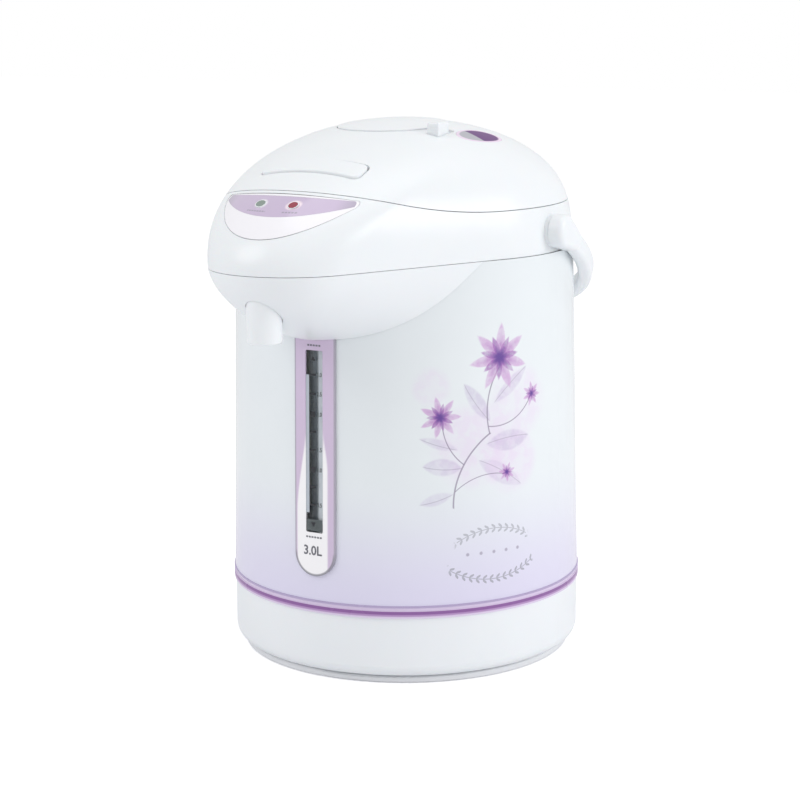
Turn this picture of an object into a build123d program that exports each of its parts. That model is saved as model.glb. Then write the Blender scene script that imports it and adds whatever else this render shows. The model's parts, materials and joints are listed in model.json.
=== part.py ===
from build123d import *

import os
from math import cos, radians, sin, sqrt

# Electric thermo pot, in millimetres. +Z is up, the beak looks along -Y, and the origin is the
# centre of the resting face.

# ---- clearances -------------------------------------------------------------------------------
seat_gap = 0.3        # between pieces that are clipped or laid together
running_gap = 0.05    # radial, round every pin, hub and hose
seam_gap = 0.4        # visible joint between lid and shoulder
moving_gap = 0.5      # round a piece that travels in an opening

# ---- jacket -----------------------------------------------------------------------------------
jacket_foot_radius = 102.8
jacket_top_radius = 98.7
jacket_foot_height = 46.8
crease_height = 238.0   # where the jacket ends and the shoulder begins
jacket_wall = 0.8

# ---- swivel foot and base ---------------------------------------------------------------------
foot_radius = 97.0
foot_thickness = 4.0
foot_edge_radius = 1.2
grip_inner_radius = 82.0
grip_outer_radius = 90.0
grip_depth = 1.2
bearing_inner_radius = 58.0
bearing_outer_radius = 64.0
bearing_height = 0.6
hub_radius = 20.0
retainer_radius = 27.0
retainer_thickness = 2.0
swivel_screw_circle = 12.0
swivel_screw_count = 3
screw_radius = 1.5
screw_head_radius = 3.0
screw_head_height = 1.6
base_radius = 102.4
base_wall = 2.8
base_edge_radius = 6.5
base_top_height = 39.7
cover_radius = 90.0
cover_thickness = 2.6
cover_flange_width = 6.0
cover_flange_thickness = 2.4
base_screw_circle = 78.0
base_screw_count = 4
base_screw_length = 9.0
base_boss_radius = 4.5
base_boss_height = 12.0

# ---- trim band --------------------------------------------------------------------------------
band_radius = 103.3
band_height = 4.3
band_groove_height = 1.6
band_groove_depth = 0.5
band_inner_radius = 99.9
band_spigot_height = 4.2

# ---- mains inlet ------------------------------------------------------------------------------
inlet_width = 34.0
inlet_height = 20.0
inlet_depth = 13.0
inlet_centre_height = 24.0
inlet_face_inset = 1.6
inlet_wall = 3.0
inlet_floor = 4.0
inlet_pin_radius = 1.5
inlet_pin_spacing = 12.0
inlet_pin_length = 9.0

# ---- head: shoulder, beak and lid share one outer form ------------------------------------------
head_radius = 97.8
head_height = 72.1
head_fullness = 2.95      # exponent of the height in the dome's section
head_roundness = 1.96     # exponent of the radius in the dome's section
beak_reach = 166.0        # front of the beak at the crease
beak_tip_radius = 46.4
ridge_fullness = 1.93     # how long the beak keeps its reach above the crease
ridge_fall = 1.56         # how softly it then sinks into the dome
ridge_top_taper = 0.6     # what the tip loses of its radius for each mm of reach, at the crown
ridge_margin = 0.5
head_top_angle = 85.0     # where the dome's flat crown starts, as an angle of its section
head_section_count = 15
shell_wall = 2.5

# ---- seam between lid and shoulder --------------------------------------------------------------
seam_height = 264.0
seam_bend_y = -40.0
seam_bend_radius = 247.0

# ---- beak cover ---------------------------------------------------------------------------------
beak_drop = 44.0          # how far the cover hangs below the crease
beak_root_reach = 92.0
beak_front_roundness = 1.69
beak_side_roundness = 1.43
beak_neck_shrink = 8.0
beak_section_count = 9
beak_bottom_angle = 80.0
beak_wall = 2.2

# ---- pot ----------------------------------------------------------------------------------------
pot_radius = 85.6
pot_wall = 0.8
pot_bottom_height = 54.0
pot_corner_radius = 8.0
pot_shoulder_height = 214.0
pot_neck_radius = 70.0
pot_neck_height = 232.0
pot_flange_radius = 79.0
pot_flange_height = 234.0
pot_flange_thickness = 1.0

# ---- shoulder inside ----------------------------------------------------------------------------
jacket_lip_width = 1.5      # the jacket's rolled top edge
skirt_depth = 6.0
skirt_wall = 2.0
carrier_bottom = 236.4
carrier_top = 238.4
carrier_bore_radius = 72.0
deck_thickness = 2.5
deck_drop = 1.0             # deck below the seam
mouth_radius = 66.0
mouth_foot_radius = 64.2
mouth_foot_height = 236.0
mouth_wall = 2.6
mouth_flange_radius = 80.0
mouth_flange_thickness = 1.6
seal_inner_radius = 64.6
seal_outer_radius = 71.0

# ---- handle -------------------------------------------------------------------------------------
handle_pivot_y = -3.0
handle_pivot_height = 250.0
handle_rest_angle = 26.0     # below level, towards the rear
handle_inner_half_width = 99.4
handle_inner_reach = 132.7
handle_thickness = 8.6
handle_width = 12.0
handle_edge_radius = 3.5
handle_eye_radius = 9.5
handle_eye_tail = 15.0        # how far the eye runs out along the strap
handle_eye_rise = 0.2         # the eyes stand above the strap on both sides
ear_radius = 9.2
ear_face_x = 98.9
ear_inner_radius = 8.0
ear_inner_x = 90.0
pivot_radius = 5.0
pivot_head_radius = 6.3
pivot_head_thickness = 2.0
pivot_bite = 4.6             # how deep the pivot enters the handle's eye

# ---- lid hinge ----------------------------------------------------------------------------------
hinge_y = 97.0
knuckle_radius = 4.5
knuckle_half_width = 12.0
knuckle_side_width = 10.0
knuckle_arm_reach = 4.0
knuckle_arm_height = 4.2
hinge_pin_radius = 1.5

# ---- pump in the lid ----------------------------------------------------------------------------
pad_centre_y = -13.0
pad_radius = 31.5
pad_rise = 0.6            # how far the pad stands above the dome
pad_wall = 2.0
pad_roof_height = 302.0   # underside of the pad's roof
pad_foot_height = 288.0
well_wall = 2.0
well_foot_height = 267.6
plug_top_radius = 62.5
plug_foot_radius = 60.0
plug_foot_height = 241.5
plug_wall = 2.0
lid_plate_rise = 0.5
lid_plate_thickness = 2.0
gasket_radius = 64.0
gasket_seat_radius = 60.0
gasket_foot_height = 249.0
gasket_thickness = 3.0
bellows_radius = 26.0
bellows_fold_depth = 5.0
bellows_fold_count = 6
bellows_wall = 1.2
spring_radius = 15.0
spring_wire_radius = 0.9
spring_turn_count = 6
air_hole_radius = 1.5
air_hole_circle = 5.5
air_hole_count = 6
flap_radius = 9.0
flap_thickness = 1.2
flap_stud_radius = 1.5
flap_stud_rise = 1.0

# ---- lock and lever on the lid ------------------------------------------------------------------
lock_x = 37.5
lock_y = -27.0
lock_length = 7.0
lock_width = 12.0
lock_edge_radius = 1.0
lock_top_height = 310.5
lock_travel = 6.0
lock_pocket_height = 300.0
lock_wall = 1.6
lock_stem_width = 3.0
lock_keeper_width = 6.0
lock_keeper_height = 297.0
lock_keeper_thickness = 1.0
label_x = 52.2
label_y = -5.5
label_half_length = 16.5
label_half_width = 9.0
label_turn = 76.0
label_thickness = 0.8
lever_front_y = -105.0
lever_depth = 14.0
lever_half_length = 31.0
lever_corner_radius = 4.0
lever_edge_radius = 1.0
lever_rise = 1.5
lever_sink = 2.0
lever_axle_y = -98.0
lever_axle_height = 283.0
lever_pin_radius = 1.2
lever_lug_radius = 2.5
lever_lug_x = 18.0
lever_lug_width = 5.0
lever_rear_gap = 1.7        # added at the rear, where the lever's edge swings out
lever_pocket_height = 280.0
lever_pocket_wall = 1.6

# ---- control panel ------------------------------------------------------------------------------
panel_half_width = 43.6
panel_tip_height = 274.0
panel_top_height = 277.3
panel_bottom_height = 256.3
panel_thickness = 1.4
panel_sink = 0.2
panel_pocket_depth = 1.8
panel_corner_radius = 2.0
lens_margin = 0.9
lens_bottom_height = 266.9
lens_bow_radius = 165.0
lens_thickness = 0.8
lamp_spacing = 20.4
lamp_height = 272.5
lamp_radius = 2.6
lamp_slope = 30.0       # of the panel beside the lamps, from level
lamp_rise = 0.4
lamp_length = 11.0
board_width = 52.0
board_depth = 13.0
board_thickness = 1.6
board_post_radius = 2.5
board_post_spacing = 42.0

# ---- level gauge --------------------------------------------------------------------------------
gauge_width = 26.0
gauge_foot_height = 61.0
gauge_top_height = 198.0
gauge_thickness = 1.5
gauge_slot_width = 11.0
gauge_slot_bottom = 86.0
gauge_slot_top = 189.0
gauge_slot_corner = 1.0
window_thickness = 1.0
window_margin = 1.0
jacket_slot_margin = 1.5
scale_left_x = 0.4
scale_right_x = 9.0
scale_depth = 1.5
scale_thickness = 1.1
scale_overlap = 4.0

# ---- water path ---------------------------------------------------------------------------------
tube_x = -3.6
tube_y = -93.0
tube_radius = 3.5
tube_bore = 2.5
tube_foot_height = 64.0
tube_top_height = 198.0
hose_wall = 1.5
hose_bite = 6.0
hose_bend_radius = 6.0
outlet_y = -70.0
outlet_length = 6.0
outlet_run_height = 34.0
valve_radius = 6.5
valve_foot_height = 204.0
valve_height = 16.0
valve_end_thickness = 2.0
valve_chamber_radius = 5.0
valve_nipple_length = 4.7
ball_radius = 4.5
ball_travel = 3.0
spout_run_height = 231.0
nozzle_y = -149.8
nozzle_radius = 9.5
nozzle_foot_height = 200.5
nozzle_top_height = 231.0
nozzle_bore = 5.0
nozzle_bore_depth = 6.5
nozzle_throat_radius = 3.0
nozzle_socket_height = 213.0
nozzle_depth = 3.0      # how far the nozzle reaches into the cover
nozzle_edge_radius = 1.0
rim_height = 3.0        # locating rim of the beak cover, inside the shoulder
rim_wall = 1.5
ledge_height = 2.5

# ---- heating ------------------------------------------------------------------------------------
heater_radius = 55.0
heater_thickness = 3.0
heater_band_foot = 70.0
heater_band_height = 25.0
heater_band_thickness = 1.5
sleeve_foot = 98.0
sleeve_top = 190.0
sleeve_thickness = 2.0
thermostat_radius = 10.0
thermostat_height = 6.0
thermostat_edge = 0.5
fuse_radius = 2.5
fuse_length = 20.0
fuse_y = 24.0
terminal_length = 30.0
terminal_width = 14.0
terminal_height = 12.0
terminal_x = 40.0
terminal_y = 34.0

os.makedirs("parts", exist_ok=True)


def save(piece, label):
    """Name one finished piece and write it as its own file."""
    piece.part.label = label
    export_step(piece.part, f"parts/{label}.step")


# ==== shared forms ===============================================================================


def jacket_radius(height):
    """Outside radius of the tapered jacket at a height."""
    share = (height - jacket_foot_height) / (crease_height - jacket_foot_height)
    return jacket_foot_radius + (jacket_top_radius - jacket_foot_radius) * share


def jacket_shell(inner, outer, bottom, top):
    """Conical shell between two offsets from the jacket's outside."""
    with BuildPart() as shell:
        with BuildSketch(Plane.XZ):
            with BuildLine():
                Polyline(
                    (jacket_radius(bottom) + inner, bottom),
                    (jacket_radius(bottom) + outer, bottom),
                    (jacket_radius(top) + outer, top),
                    (jacket_radius(top) + inner, top),
                    close=True,
                )
            make_face()
        revolve(axis=Axis.Z)
    return shell.part


def jacket_core(offset, bottom, top):
    """Solid cone of the jacket's outside, grown by offset."""
    with BuildPart() as core:
        with BuildSketch(Plane.XZ):
            with BuildLine():
                Polyline(
                    (0, bottom),
                    (jacket_radius(bottom) + offset, bottom),
                    (jacket_radius(top) + offset, top),
                    (0, top),
                    close=True,
                )
            make_face()
        revolve(axis=Axis.Z)
    return core.part


def superellipse(share, exponent):
    """Height of a unit superellipse's quarter at a share of its length."""
    return (1.0 - share**exponent) ** (1.0 / exponent)


def egg_section(height, main_radius, front_reach, tip_radius):
    """Level section of the head: a round back and a smaller round tip joined by tangents."""
    tip_centre = front_reach - tip_radius
    lean = (main_radius - tip_radius) / tip_centre
    spread = sqrt(1.0 - lean**2)
    main_touch = (main_radius * spread, -main_radius * lean)
    tip_touch = (tip_radius * spread, -tip_centre - tip_radius * lean)
    with BuildSketch(Plane.XY.offset(height)) as section:
        with BuildLine():
            ThreePointArc(main_touch, (0, main_radius), (-main_touch[0], main_touch[1]))
            Line((-main_touch[0], main_touch[1]), (-tip_touch[0], tip_touch[1]))
            ThreePointArc((-tip_touch[0], tip_touch[1]), (0, -front_reach), tip_touch)
            Line(tip_touch, main_touch)
        make_face()
    return section.sketch


def head_section(height, inset):
    """Radii of the head's outline at a height, pulled in by inset."""
    share = (height - crease_height) / (head_height - inset)
    main = (head_radius - inset) * (1.0 - share**head_fullness) ** (1.0 / head_roundness)
    full_ridge = beak_reach - head_radius
    ridge = ridge_margin + (full_ridge - ridge_margin) * (1.0 - share**ridge_fullness) ** ridge_fall
    root_taper = (head_radius - beak_tip_radius) / full_ridge
    taper = root_taper + (ridge_top_taper - root_taper) * share
    return main, main + ridge, main - taper * ridge


def head_form(inset):
    """Solid dome with its beak, above the crease, pulled in by inset on every side."""
    sections = []
    for index in range(head_section_count):
        angle = radians(head_top_angle) * index / (head_section_count - 1)
        height = crease_height + (head_height - inset) * sin(angle) ** (2 / head_fullness)
        sections.append(egg_section(height, *head_section(height, inset)))
    with BuildPart() as form:
        loft(sections=sections)
    return form.part


def beak_form(inset):
    """Solid underside of the beak, from the crease down to the jacket."""
    sections = []
    for index in range(beak_section_count):
        share = sin(radians(beak_bottom_angle) * index / (beak_section_count - 1))
        fall = superellipse(share, beak_front_roundness)
        reach = beak_root_reach + (beak_reach - beak_root_reach) * fall - inset
        tip = (beak_tip_radius - inset) * superellipse(share, beak_side_roundness)
        main = head_radius - beak_neck_shrink * share - inset
        height = crease_height - (beak_drop - inset) * share
        sections.append(egg_section(height, main, reach, tip))
    with BuildPart() as form:
        loft(sections=sections)
    return form.part


def seam_at(y, rise):
    """Height of the seam at a place along the pot, moved up by rise."""
    forward = max(0.0, seam_bend_y - y)
    return seam_height + rise + seam_bend_radius - sqrt(seam_bend_radius**2 - forward**2)


def seam_profile(rise):
    """Edges of the seam in the YZ plane, from the rear to in front of the beak."""
    front_y = -beak_reach - 2 * seam_gap
    middle_y = (seam_bend_y + front_y) / 2
    rear_y = head_radius + 2 * knuckle_radius + 2 * seam_gap
    start = (rear_y, seam_height + rise)
    bend = (seam_bend_y, seam_height + rise)
    middle = (middle_y, seam_at(middle_y, rise))
    end = (front_y, seam_at(front_y, rise))
    Line(start, bend)
    ThreePointArc(bend, middle, end)
    return start, end


def above_seam(rise):
    """Block of everything above the seam."""
    roof = crease_height + head_height + 2 * seam_gap
    with BuildPart() as block:
        with BuildSketch(Plane.YZ):
            with BuildLine():
                start, end = seam_profile(rise)
                Polyline(end, (end[0], roof), (start[0], roof), start)
            make_face()
        extrude(amount=head_radius + seam_gap, both=True)
    return block.part


def seam_band(low, high):
    """Curved plate that follows the seam between two rises."""
    with BuildPart() as band:
        add(above_seam(low))
        add(above_seam(high), mode=Mode.SUBTRACT)
    return band.part


def ring(inner_radius, outer_radius, bottom, top):
    """Flat ring about the pot's axis."""
    with BuildPart() as piece:
        with BuildSketch(Plane.XY.offset(bottom)):
            Circle(outer_radius)
            Circle(inner_radius, mode=Mode.SUBTRACT)
        extrude(amount=top - bottom)
    return piece.part


def hose(points, bend_radius):
    """Rubber hose along a bent path, bored to slip over the level tube's size."""
    with BuildPart() as piece:
        with BuildLine() as path:
            FilletPolyline(*points, radius=bend_radius)
        with BuildSketch(Plane(origin=path.line @ 0, z_dir=path.line % 0)):
            Circle(tube_radius + running_gap + hose_wall)
            Circle(tube_radius + running_gap, mode=Mode.SUBTRACT)
        sweep()
    return piece


head_outer = head_form(0.0)
head_inner = head_form(shell_wall)
beak_outer = beak_form(0.0)

# ==== swivel foot ================================================================================

cover_bottom = foot_thickness + bearing_height
cover_top = cover_bottom + cover_thickness
retainer_bottom = cover_top + seat_gap
retainer_top = retainer_bottom + retainer_thickness

with BuildPart() as swivel_plate:
    with BuildSketch():
        Circle(foot_radius)
    extrude(amount=foot_thickness)
    fillet(swivel_plate.edges().filter_by(GeomType.CIRCLE).group_by(SortBy.RADIUS)[-1], foot_edge_radius)
    with BuildSketch():
        Circle(grip_outer_radius)
        Circle(grip_inner_radius, mode=Mode.SUBTRACT)
    extrude(amount=grip_depth, mode=Mode.SUBTRACT)
    with BuildSketch(Plane.XY.offset(foot_thickness)):
        Circle(bearing_outer_radius)
        Circle(bearing_inner_radius, mode=Mode.SUBTRACT)
    extrude(amount=bearing_height)
    with BuildSketch(Plane.XY.offset(foot_thickness)):
        Circle(hub_radius)
    extrude(amount=retainer_bottom - foot_thickness)
    with BuildSketch(Plane.XY.offset(retainer_bottom)):
        with PolarLocations(swivel_screw_circle, swivel_screw_count):
            Circle(screw_radius + running_gap)
    extrude(amount=foot_thickness / 2 - retainer_bottom, mode=Mode.SUBTRACT)
save(swivel_plate, "swivel_plate")

with BuildPart() as foot_ring:
    add(ring(grip_inner_radius + running_gap, grip_outer_radius - running_gap, 0.0, grip_depth))
save(foot_ring, "foot_ring")

with BuildPart() as swivel_retainer:
    with BuildSketch(Plane.XY.offset(retainer_bottom)):
        Circle(retainer_radius)
        with PolarLocations(swivel_screw_circle, swivel_screw_count):
            Circle(screw_radius + running_gap, mode=Mode.SUBTRACT)
    extrude(amount=retainer_thickness)
save(swivel_retainer, "swivel_retainer")

with BuildPart() as swivel_screws:
    with BuildSketch(Plane.XY.offset(foot_thickness / 2)):
        with PolarLocations(swivel_screw_circle, swivel_screw_count):
            Circle(screw_radius)
    extrude(amount=retainer_top - foot_thickness / 2)
    with BuildSketch(Plane.XY.offset(retainer_top)):
        with PolarLocations(swivel_screw_circle, swivel_screw_count):
            Circle(screw_head_radius)
    extrude(amount=screw_head_height)
save(swivel_screws, "swivel_screws")

# ==== base =======================================================================================

base_inner_radius = base_radius - base_wall
flange_top = cover_top + cover_flange_thickness
inlet_face_y = base_radius - inlet_face_inset
base_screw_plane = Plane.XY.offset(cover_bottom)

with BuildPart() as base_cover:
    with BuildSketch(base_screw_plane):
        Circle(cover_radius)
        Circle(hub_radius + running_gap, mode=Mode.SUBTRACT)
    extrude(amount=cover_thickness)
    with Locations(base_screw_plane.rotated((180, 0, 0))):
        with PolarLocations(base_screw_circle, base_screw_count):
            CounterBoreHole(
                screw_radius + running_gap, screw_head_radius + running_gap, screw_head_height
            )
save(base_cover, "base_cover")

with BuildPart() as base_housing:
    with BuildSketch(Plane.XZ) as base_section:
        with BuildLine():
            Polyline(
                (cover_radius + seat_gap, cover_bottom),
                (base_radius, cover_bottom),
                (base_radius, base_top_height),
                (base_inner_radius, base_top_height),
                (base_inner_radius, flange_top),
                (cover_radius - cover_flange_width, flange_top),
                (cover_radius - cover_flange_width, cover_top),
                (cover_radius + seat_gap, cover_top),
                close=True,
            )
        make_face()
        fillet(base_section.vertices().group_by(Axis.X)[-1].sort_by(Axis.Y)[0], base_edge_radius)
    revolve(axis=Axis.Z)
    with BuildSketch(Plane.XY.offset(cover_top)):
        with PolarLocations(base_screw_circle, base_screw_count):
            Circle(base_boss_radius)
        for turn in range(base_screw_count):
            with Locations(Location((0, 0, 0), (0, 0, turn * 360 / base_screw_count))):
                with Locations((base_screw_circle + base_boss_radius, 0)):
                    Rectangle(2 * base_boss_radius, base_boss_radius)
    extrude(amount=base_boss_height)
    with BuildSketch(Plane.XY.offset(cover_top)):
        with PolarLocations(base_screw_circle, base_screw_count):
            Circle(screw_radius + running_gap)
    extrude(amount=base_screw_length, mode=Mode.SUBTRACT)
    with BuildSketch(Plane.XZ.offset(-base_inner_radius + inlet_depth)):
        with Locations((0, inlet_centre_height)):
            Rectangle(inlet_width + 2 * seat_gap, inlet_height + 2 * seat_gap)
    extrude(amount=-2 * inlet_depth, mode=Mode.SUBTRACT)
save(base_housing, "base_housing")

with BuildPart() as base_screws:
    with BuildSketch(base_screw_plane):
        with PolarLocations(base_screw_circle, base_screw_count):
            Circle(screw_head_radius)
    extrude(amount=screw_head_height)
    with BuildSketch(Plane.XY.offset(cover_bottom + screw_head_height)):
        with PolarLocations(base_screw_circle, base_screw_count):
            Circle(screw_radius)
    extrude(amount=base_screw_length)
save(base_screws, "base_screws")

with BuildPart() as power_inlet:
    with BuildSketch(Plane.XZ.offset(-inlet_face_y)):
        with Locations((0, inlet_centre_height)):
            Rectangle(inlet_width, inlet_height)
    extrude(amount=inlet_depth)
    with BuildSketch(Plane.XZ.offset(-inlet_face_y)):
        with Locations((0, inlet_centre_height)):
            Rectangle(inlet_width - 2 * inlet_wall, inlet_height - 2 * inlet_wall)
    extrude(amount=inlet_depth - inlet_floor, mode=Mode.SUBTRACT)
    with BuildSketch(Plane.XZ.offset(-inlet_face_y)):
        with Locations((0, inlet_centre_height)):
            with GridLocations(inlet_pin_spacing, 0, 2, 1):
                Circle(inlet_pin_radius + running_gap)
    extrude(amount=inlet_depth, mode=Mode.SUBTRACT)
save(power_inlet, "power_inlet")

with BuildPart() as inlet_pins:
    with BuildSketch(Plane.XZ.offset(inlet_depth - inlet_face_y)):
        with Locations((0, inlet_centre_height)):
            with GridLocations(inlet_pin_spacing, 0, 2, 1):
                Circle(inlet_pin_radius)
    extrude(amount=-inlet_floor - inlet_pin_length + 2 * seat_gap)
save(inlet_pins, "inlet_pins")

# ==== jacket and trim ============================================================================

band_bead_height = jacket_foot_height - base_top_height - band_height - band_groove_height
spigot_radius = jacket_foot_radius - jacket_wall - seat_gap
band_groove_bottom = base_top_height + band_height

with BuildPart() as trim_band:
    with BuildSketch(Plane.XZ):
        with BuildLine():
            Polyline(
                (band_inner_radius, base_top_height),
                (band_radius, base_top_height),
                (band_radius, band_groove_bottom),
                (band_radius - band_groove_depth, band_groove_bottom),
                (band_radius - band_groove_depth, band_groove_bottom + band_groove_height),
                (band_radius, jacket_foot_height - band_bead_height),
                (band_radius, jacket_foot_height),
                (spigot_radius, jacket_foot_height),
                (spigot_radius, jacket_foot_height + band_spigot_height),
                (band_inner_radius, jacket_foot_height + band_spigot_height),
                close=True,
            )
        make_face()
    revolve(axis=Axis.Z)
save(trim_band, "trim_band")

jacket_top = crease_height - seat_gap
spout_notch_half_width = valve_radius - tube_x + 4 * seat_gap
spout_notch_foot = tube_top_height + seam_gap


def spout_notch(bottom, top):
    """Opening at the front through which the water path leaves the jacket."""
    with BuildPart() as notch:
        with BuildSketch(Plane.XY.offset(bottom)):
            with Locations((0, -jacket_foot_radius)):
                Rectangle(2 * spout_notch_half_width, jacket_foot_radius - pot_neck_radius)
        extrude(amount=top - bottom)
    return notch.part


def slot_sketch(margin):
    """Outline of the gauge's window slot, widened by margin."""
    with Locations((0, (gauge_slot_bottom + gauge_slot_top) / 2)):
        RectangleRounded(
            gauge_slot_width + 2 * margin,
            gauge_slot_top - gauge_slot_bottom + 2 * margin,
            gauge_slot_corner,
        )


with BuildPart() as outer_body:
    add(jacket_shell(-jacket_wall, 0.0, jacket_foot_height, jacket_top))
    add(jacket_shell(-jacket_wall - jacket_lip_width, 0.0, jacket_top - jacket_wall, jacket_top))
    with BuildSketch(Plane.XZ):
        slot_sketch(jacket_slot_margin)
    extrude(amount=base_radius + band_radius, mode=Mode.SUBTRACT)
    add(spout_notch(spout_notch_foot, crease_height), mode=Mode.SUBTRACT)
save(outer_body, "outer_body")

# ==== level gauge ================================================================================


def gauge_strip(inner, outer):
    """Curved strip at the front of the jacket, as wide as the scale plate."""
    with BuildPart() as strip:
        add(jacket_shell(inner, outer, jacket_foot_height, gauge_top_height))
        with BuildSketch(Plane.XZ):
            with Locations((
                (scale_left_x + scale_right_x) / 2, (gauge_slot_bottom + gauge_slot_top) / 2
            )):
                Rectangle(
                    scale_right_x - scale_left_x,
                    gauge_slot_top - gauge_slot_bottom + 2 * scale_overlap,
                )
        extrude(amount=2 * band_radius, mode=Mode.INTERSECT)
    return strip.part


def gauge_plate(inner, margin):
    """Curved plate of the gauge frame's outline, grown by margin outward, upward and sideways."""
    top = gauge_top_height + margin
    width = gauge_width + 2 * margin
    with BuildPart() as plate:
        add(jacket_shell(inner, gauge_thickness + margin, jacket_foot_height, top))
        with BuildSketch(Plane.XZ):
            with Locations((0, top)):
                Rectangle(
                    width, top - gauge_foot_height - gauge_width / 2, align=(Align.CENTER, Align.MAX)
                )
            with Locations((0, gauge_foot_height + gauge_width / 2)):
                Circle(width / 2)
        extrude(amount=2 * band_radius, mode=Mode.INTERSECT)
    return plate.part


with BuildPart() as gauge_frame:
    add(gauge_plate(running_gap, 0.0))
    with BuildSketch(Plane.XZ):
        slot_sketch(0.0)
    extrude(amount=2 * band_radius, mode=Mode.SUBTRACT)
save(gauge_frame, "gauge_frame")

with BuildPart() as window_step:
    add(jacket_shell(-window_thickness, gauge_thickness - seat_gap, jacket_foot_height, jacket_top))
    with BuildSketch(Plane.XZ):
        slot_sketch(-running_gap)
    extrude(amount=2 * band_radius, mode=Mode.INTERSECT)

with BuildPart() as gauge_window:
    add(jacket_shell(-window_thickness, 0.0, jacket_foot_height, jacket_top))
    with BuildSketch(Plane.XZ):
        slot_sketch(window_margin)
    extrude(amount=2 * band_radius, mode=Mode.INTERSECT)
    add(window_step.part)
save(gauge_window, "gauge_window")

with BuildPart() as gauge_scale:
    add(gauge_strip(-scale_depth - scale_thickness, -scale_depth))
save(gauge_scale, "gauge_scale")

# ==== water path =================================================================================

hose_radius = tube_radius + running_gap + hose_wall
tube_place = Location((tube_x, tube_y, 0))

with BuildPart() as level_tube:
    with BuildSketch(Plane.XY.offset(tube_foot_height)):
        with Locations(tube_place):
            Circle(tube_radius)
            Circle(tube_bore, mode=Mode.SUBTRACT)
    extrude(amount=tube_top_height - tube_foot_height)
save(level_tube, "level_tube")

suction_hose = hose(
    [
        (0, outlet_y, pot_bottom_height - seat_gap),
        (0, outlet_y, outlet_run_height),
        (tube_x, tube_y, outlet_run_height),
        (tube_x, tube_y, tube_foot_height + hose_bite),
    ],
    hose_bend_radius,
)
save(suction_hose, "suction_hose")

with BuildPart() as tube_joint:
    with BuildSketch(Plane.XY.offset(tube_top_height - hose_bite)):
        with Locations(tube_place):
            Circle(hose_radius)
            Circle(tube_radius + running_gap, mode=Mode.SUBTRACT)
    extrude(amount=valve_foot_height - seat_gap - tube_top_height + hose_bite)
save(tube_joint, "tube_joint")

valve_top_height = valve_foot_height + valve_height
ball_seat_height = valve_foot_height + valve_end_thickness
ball_rest_height = ball_seat_height + sqrt(ball_radius**2 - tube_bore**2) + seat_gap

with BuildPart() as tip_valve:
    with BuildSketch(Plane.XY.offset(valve_foot_height)):
        with Locations(tube_place):
            Circle(valve_radius)
    extrude(amount=valve_height)
    with BuildSketch(Plane.XY.offset(valve_foot_height - valve_nipple_length)):
        with Locations(tube_place):
            Circle(tube_radius)
    extrude(amount=valve_height + 2 * valve_nipple_length)
    with BuildSketch(Plane.XY.offset(valve_foot_height - valve_nipple_length)):
        with Locations(tube_place):
            Circle(tube_bore)
    extrude(amount=valve_height + 2 * valve_nipple_length, mode=Mode.SUBTRACT)
    with BuildSketch(Plane.XY.offset(ball_seat_height)):
        with Locations(tube_place):
            Circle(valve_chamber_radius)
    extrude(amount=valve_height - 2 * valve_end_thickness, mode=Mode.SUBTRACT)
save(tip_valve, "tip_valve")

with BuildPart() as valve_ball:
    with Locations((tube_x, tube_y, ball_rest_height)):
        Sphere(ball_radius)
save(valve_ball, "valve_ball")

spout_pipe = hose(
    [
        (tube_x, tube_y, valve_top_height + seat_gap),
        (tube_x, tube_y, spout_run_height),
        (0, nozzle_y, spout_run_height),
        (0, nozzle_y, nozzle_socket_height + seat_gap),
    ],
    hose_bend_radius,
)
save(spout_pipe, "spout_pipe")

with BuildPart() as nozzle:
    with BuildSketch(Plane.XY.offset(nozzle_foot_height)):
        with Locations((0, nozzle_y)):
            Circle(nozzle_radius)
    extrude(amount=nozzle_top_height - nozzle_foot_height)
    fillet(nozzle.edges().sort_by(Axis.Z)[0], nozzle_edge_radius)
    add(beak_form(beak_wall + nozzle_depth), mode=Mode.SUBTRACT)
    with BuildSketch(Plane.XY.offset(nozzle_foot_height)):
        with Locations((0, nozzle_y)):
            Circle(nozzle_bore)
    extrude(amount=nozzle_bore_depth, mode=Mode.SUBTRACT)
    with BuildSketch(Plane.XY.offset(nozzle_foot_height)):
        with Locations((0, nozzle_y)):
            Circle(nozzle_throat_radius)
    extrude(amount=nozzle_top_height - nozzle_foot_height, mode=Mode.SUBTRACT)
    with BuildSketch(Plane.XY.offset(nozzle_socket_height)):
        with Locations((0, nozzle_y)):
            Circle(hose_radius + running_gap)
    extrude(amount=nozzle_top_height - nozzle_socket_height, mode=Mode.SUBTRACT)
save(nozzle, "nozzle")

# ==== pot and heating ============================================================================

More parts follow.
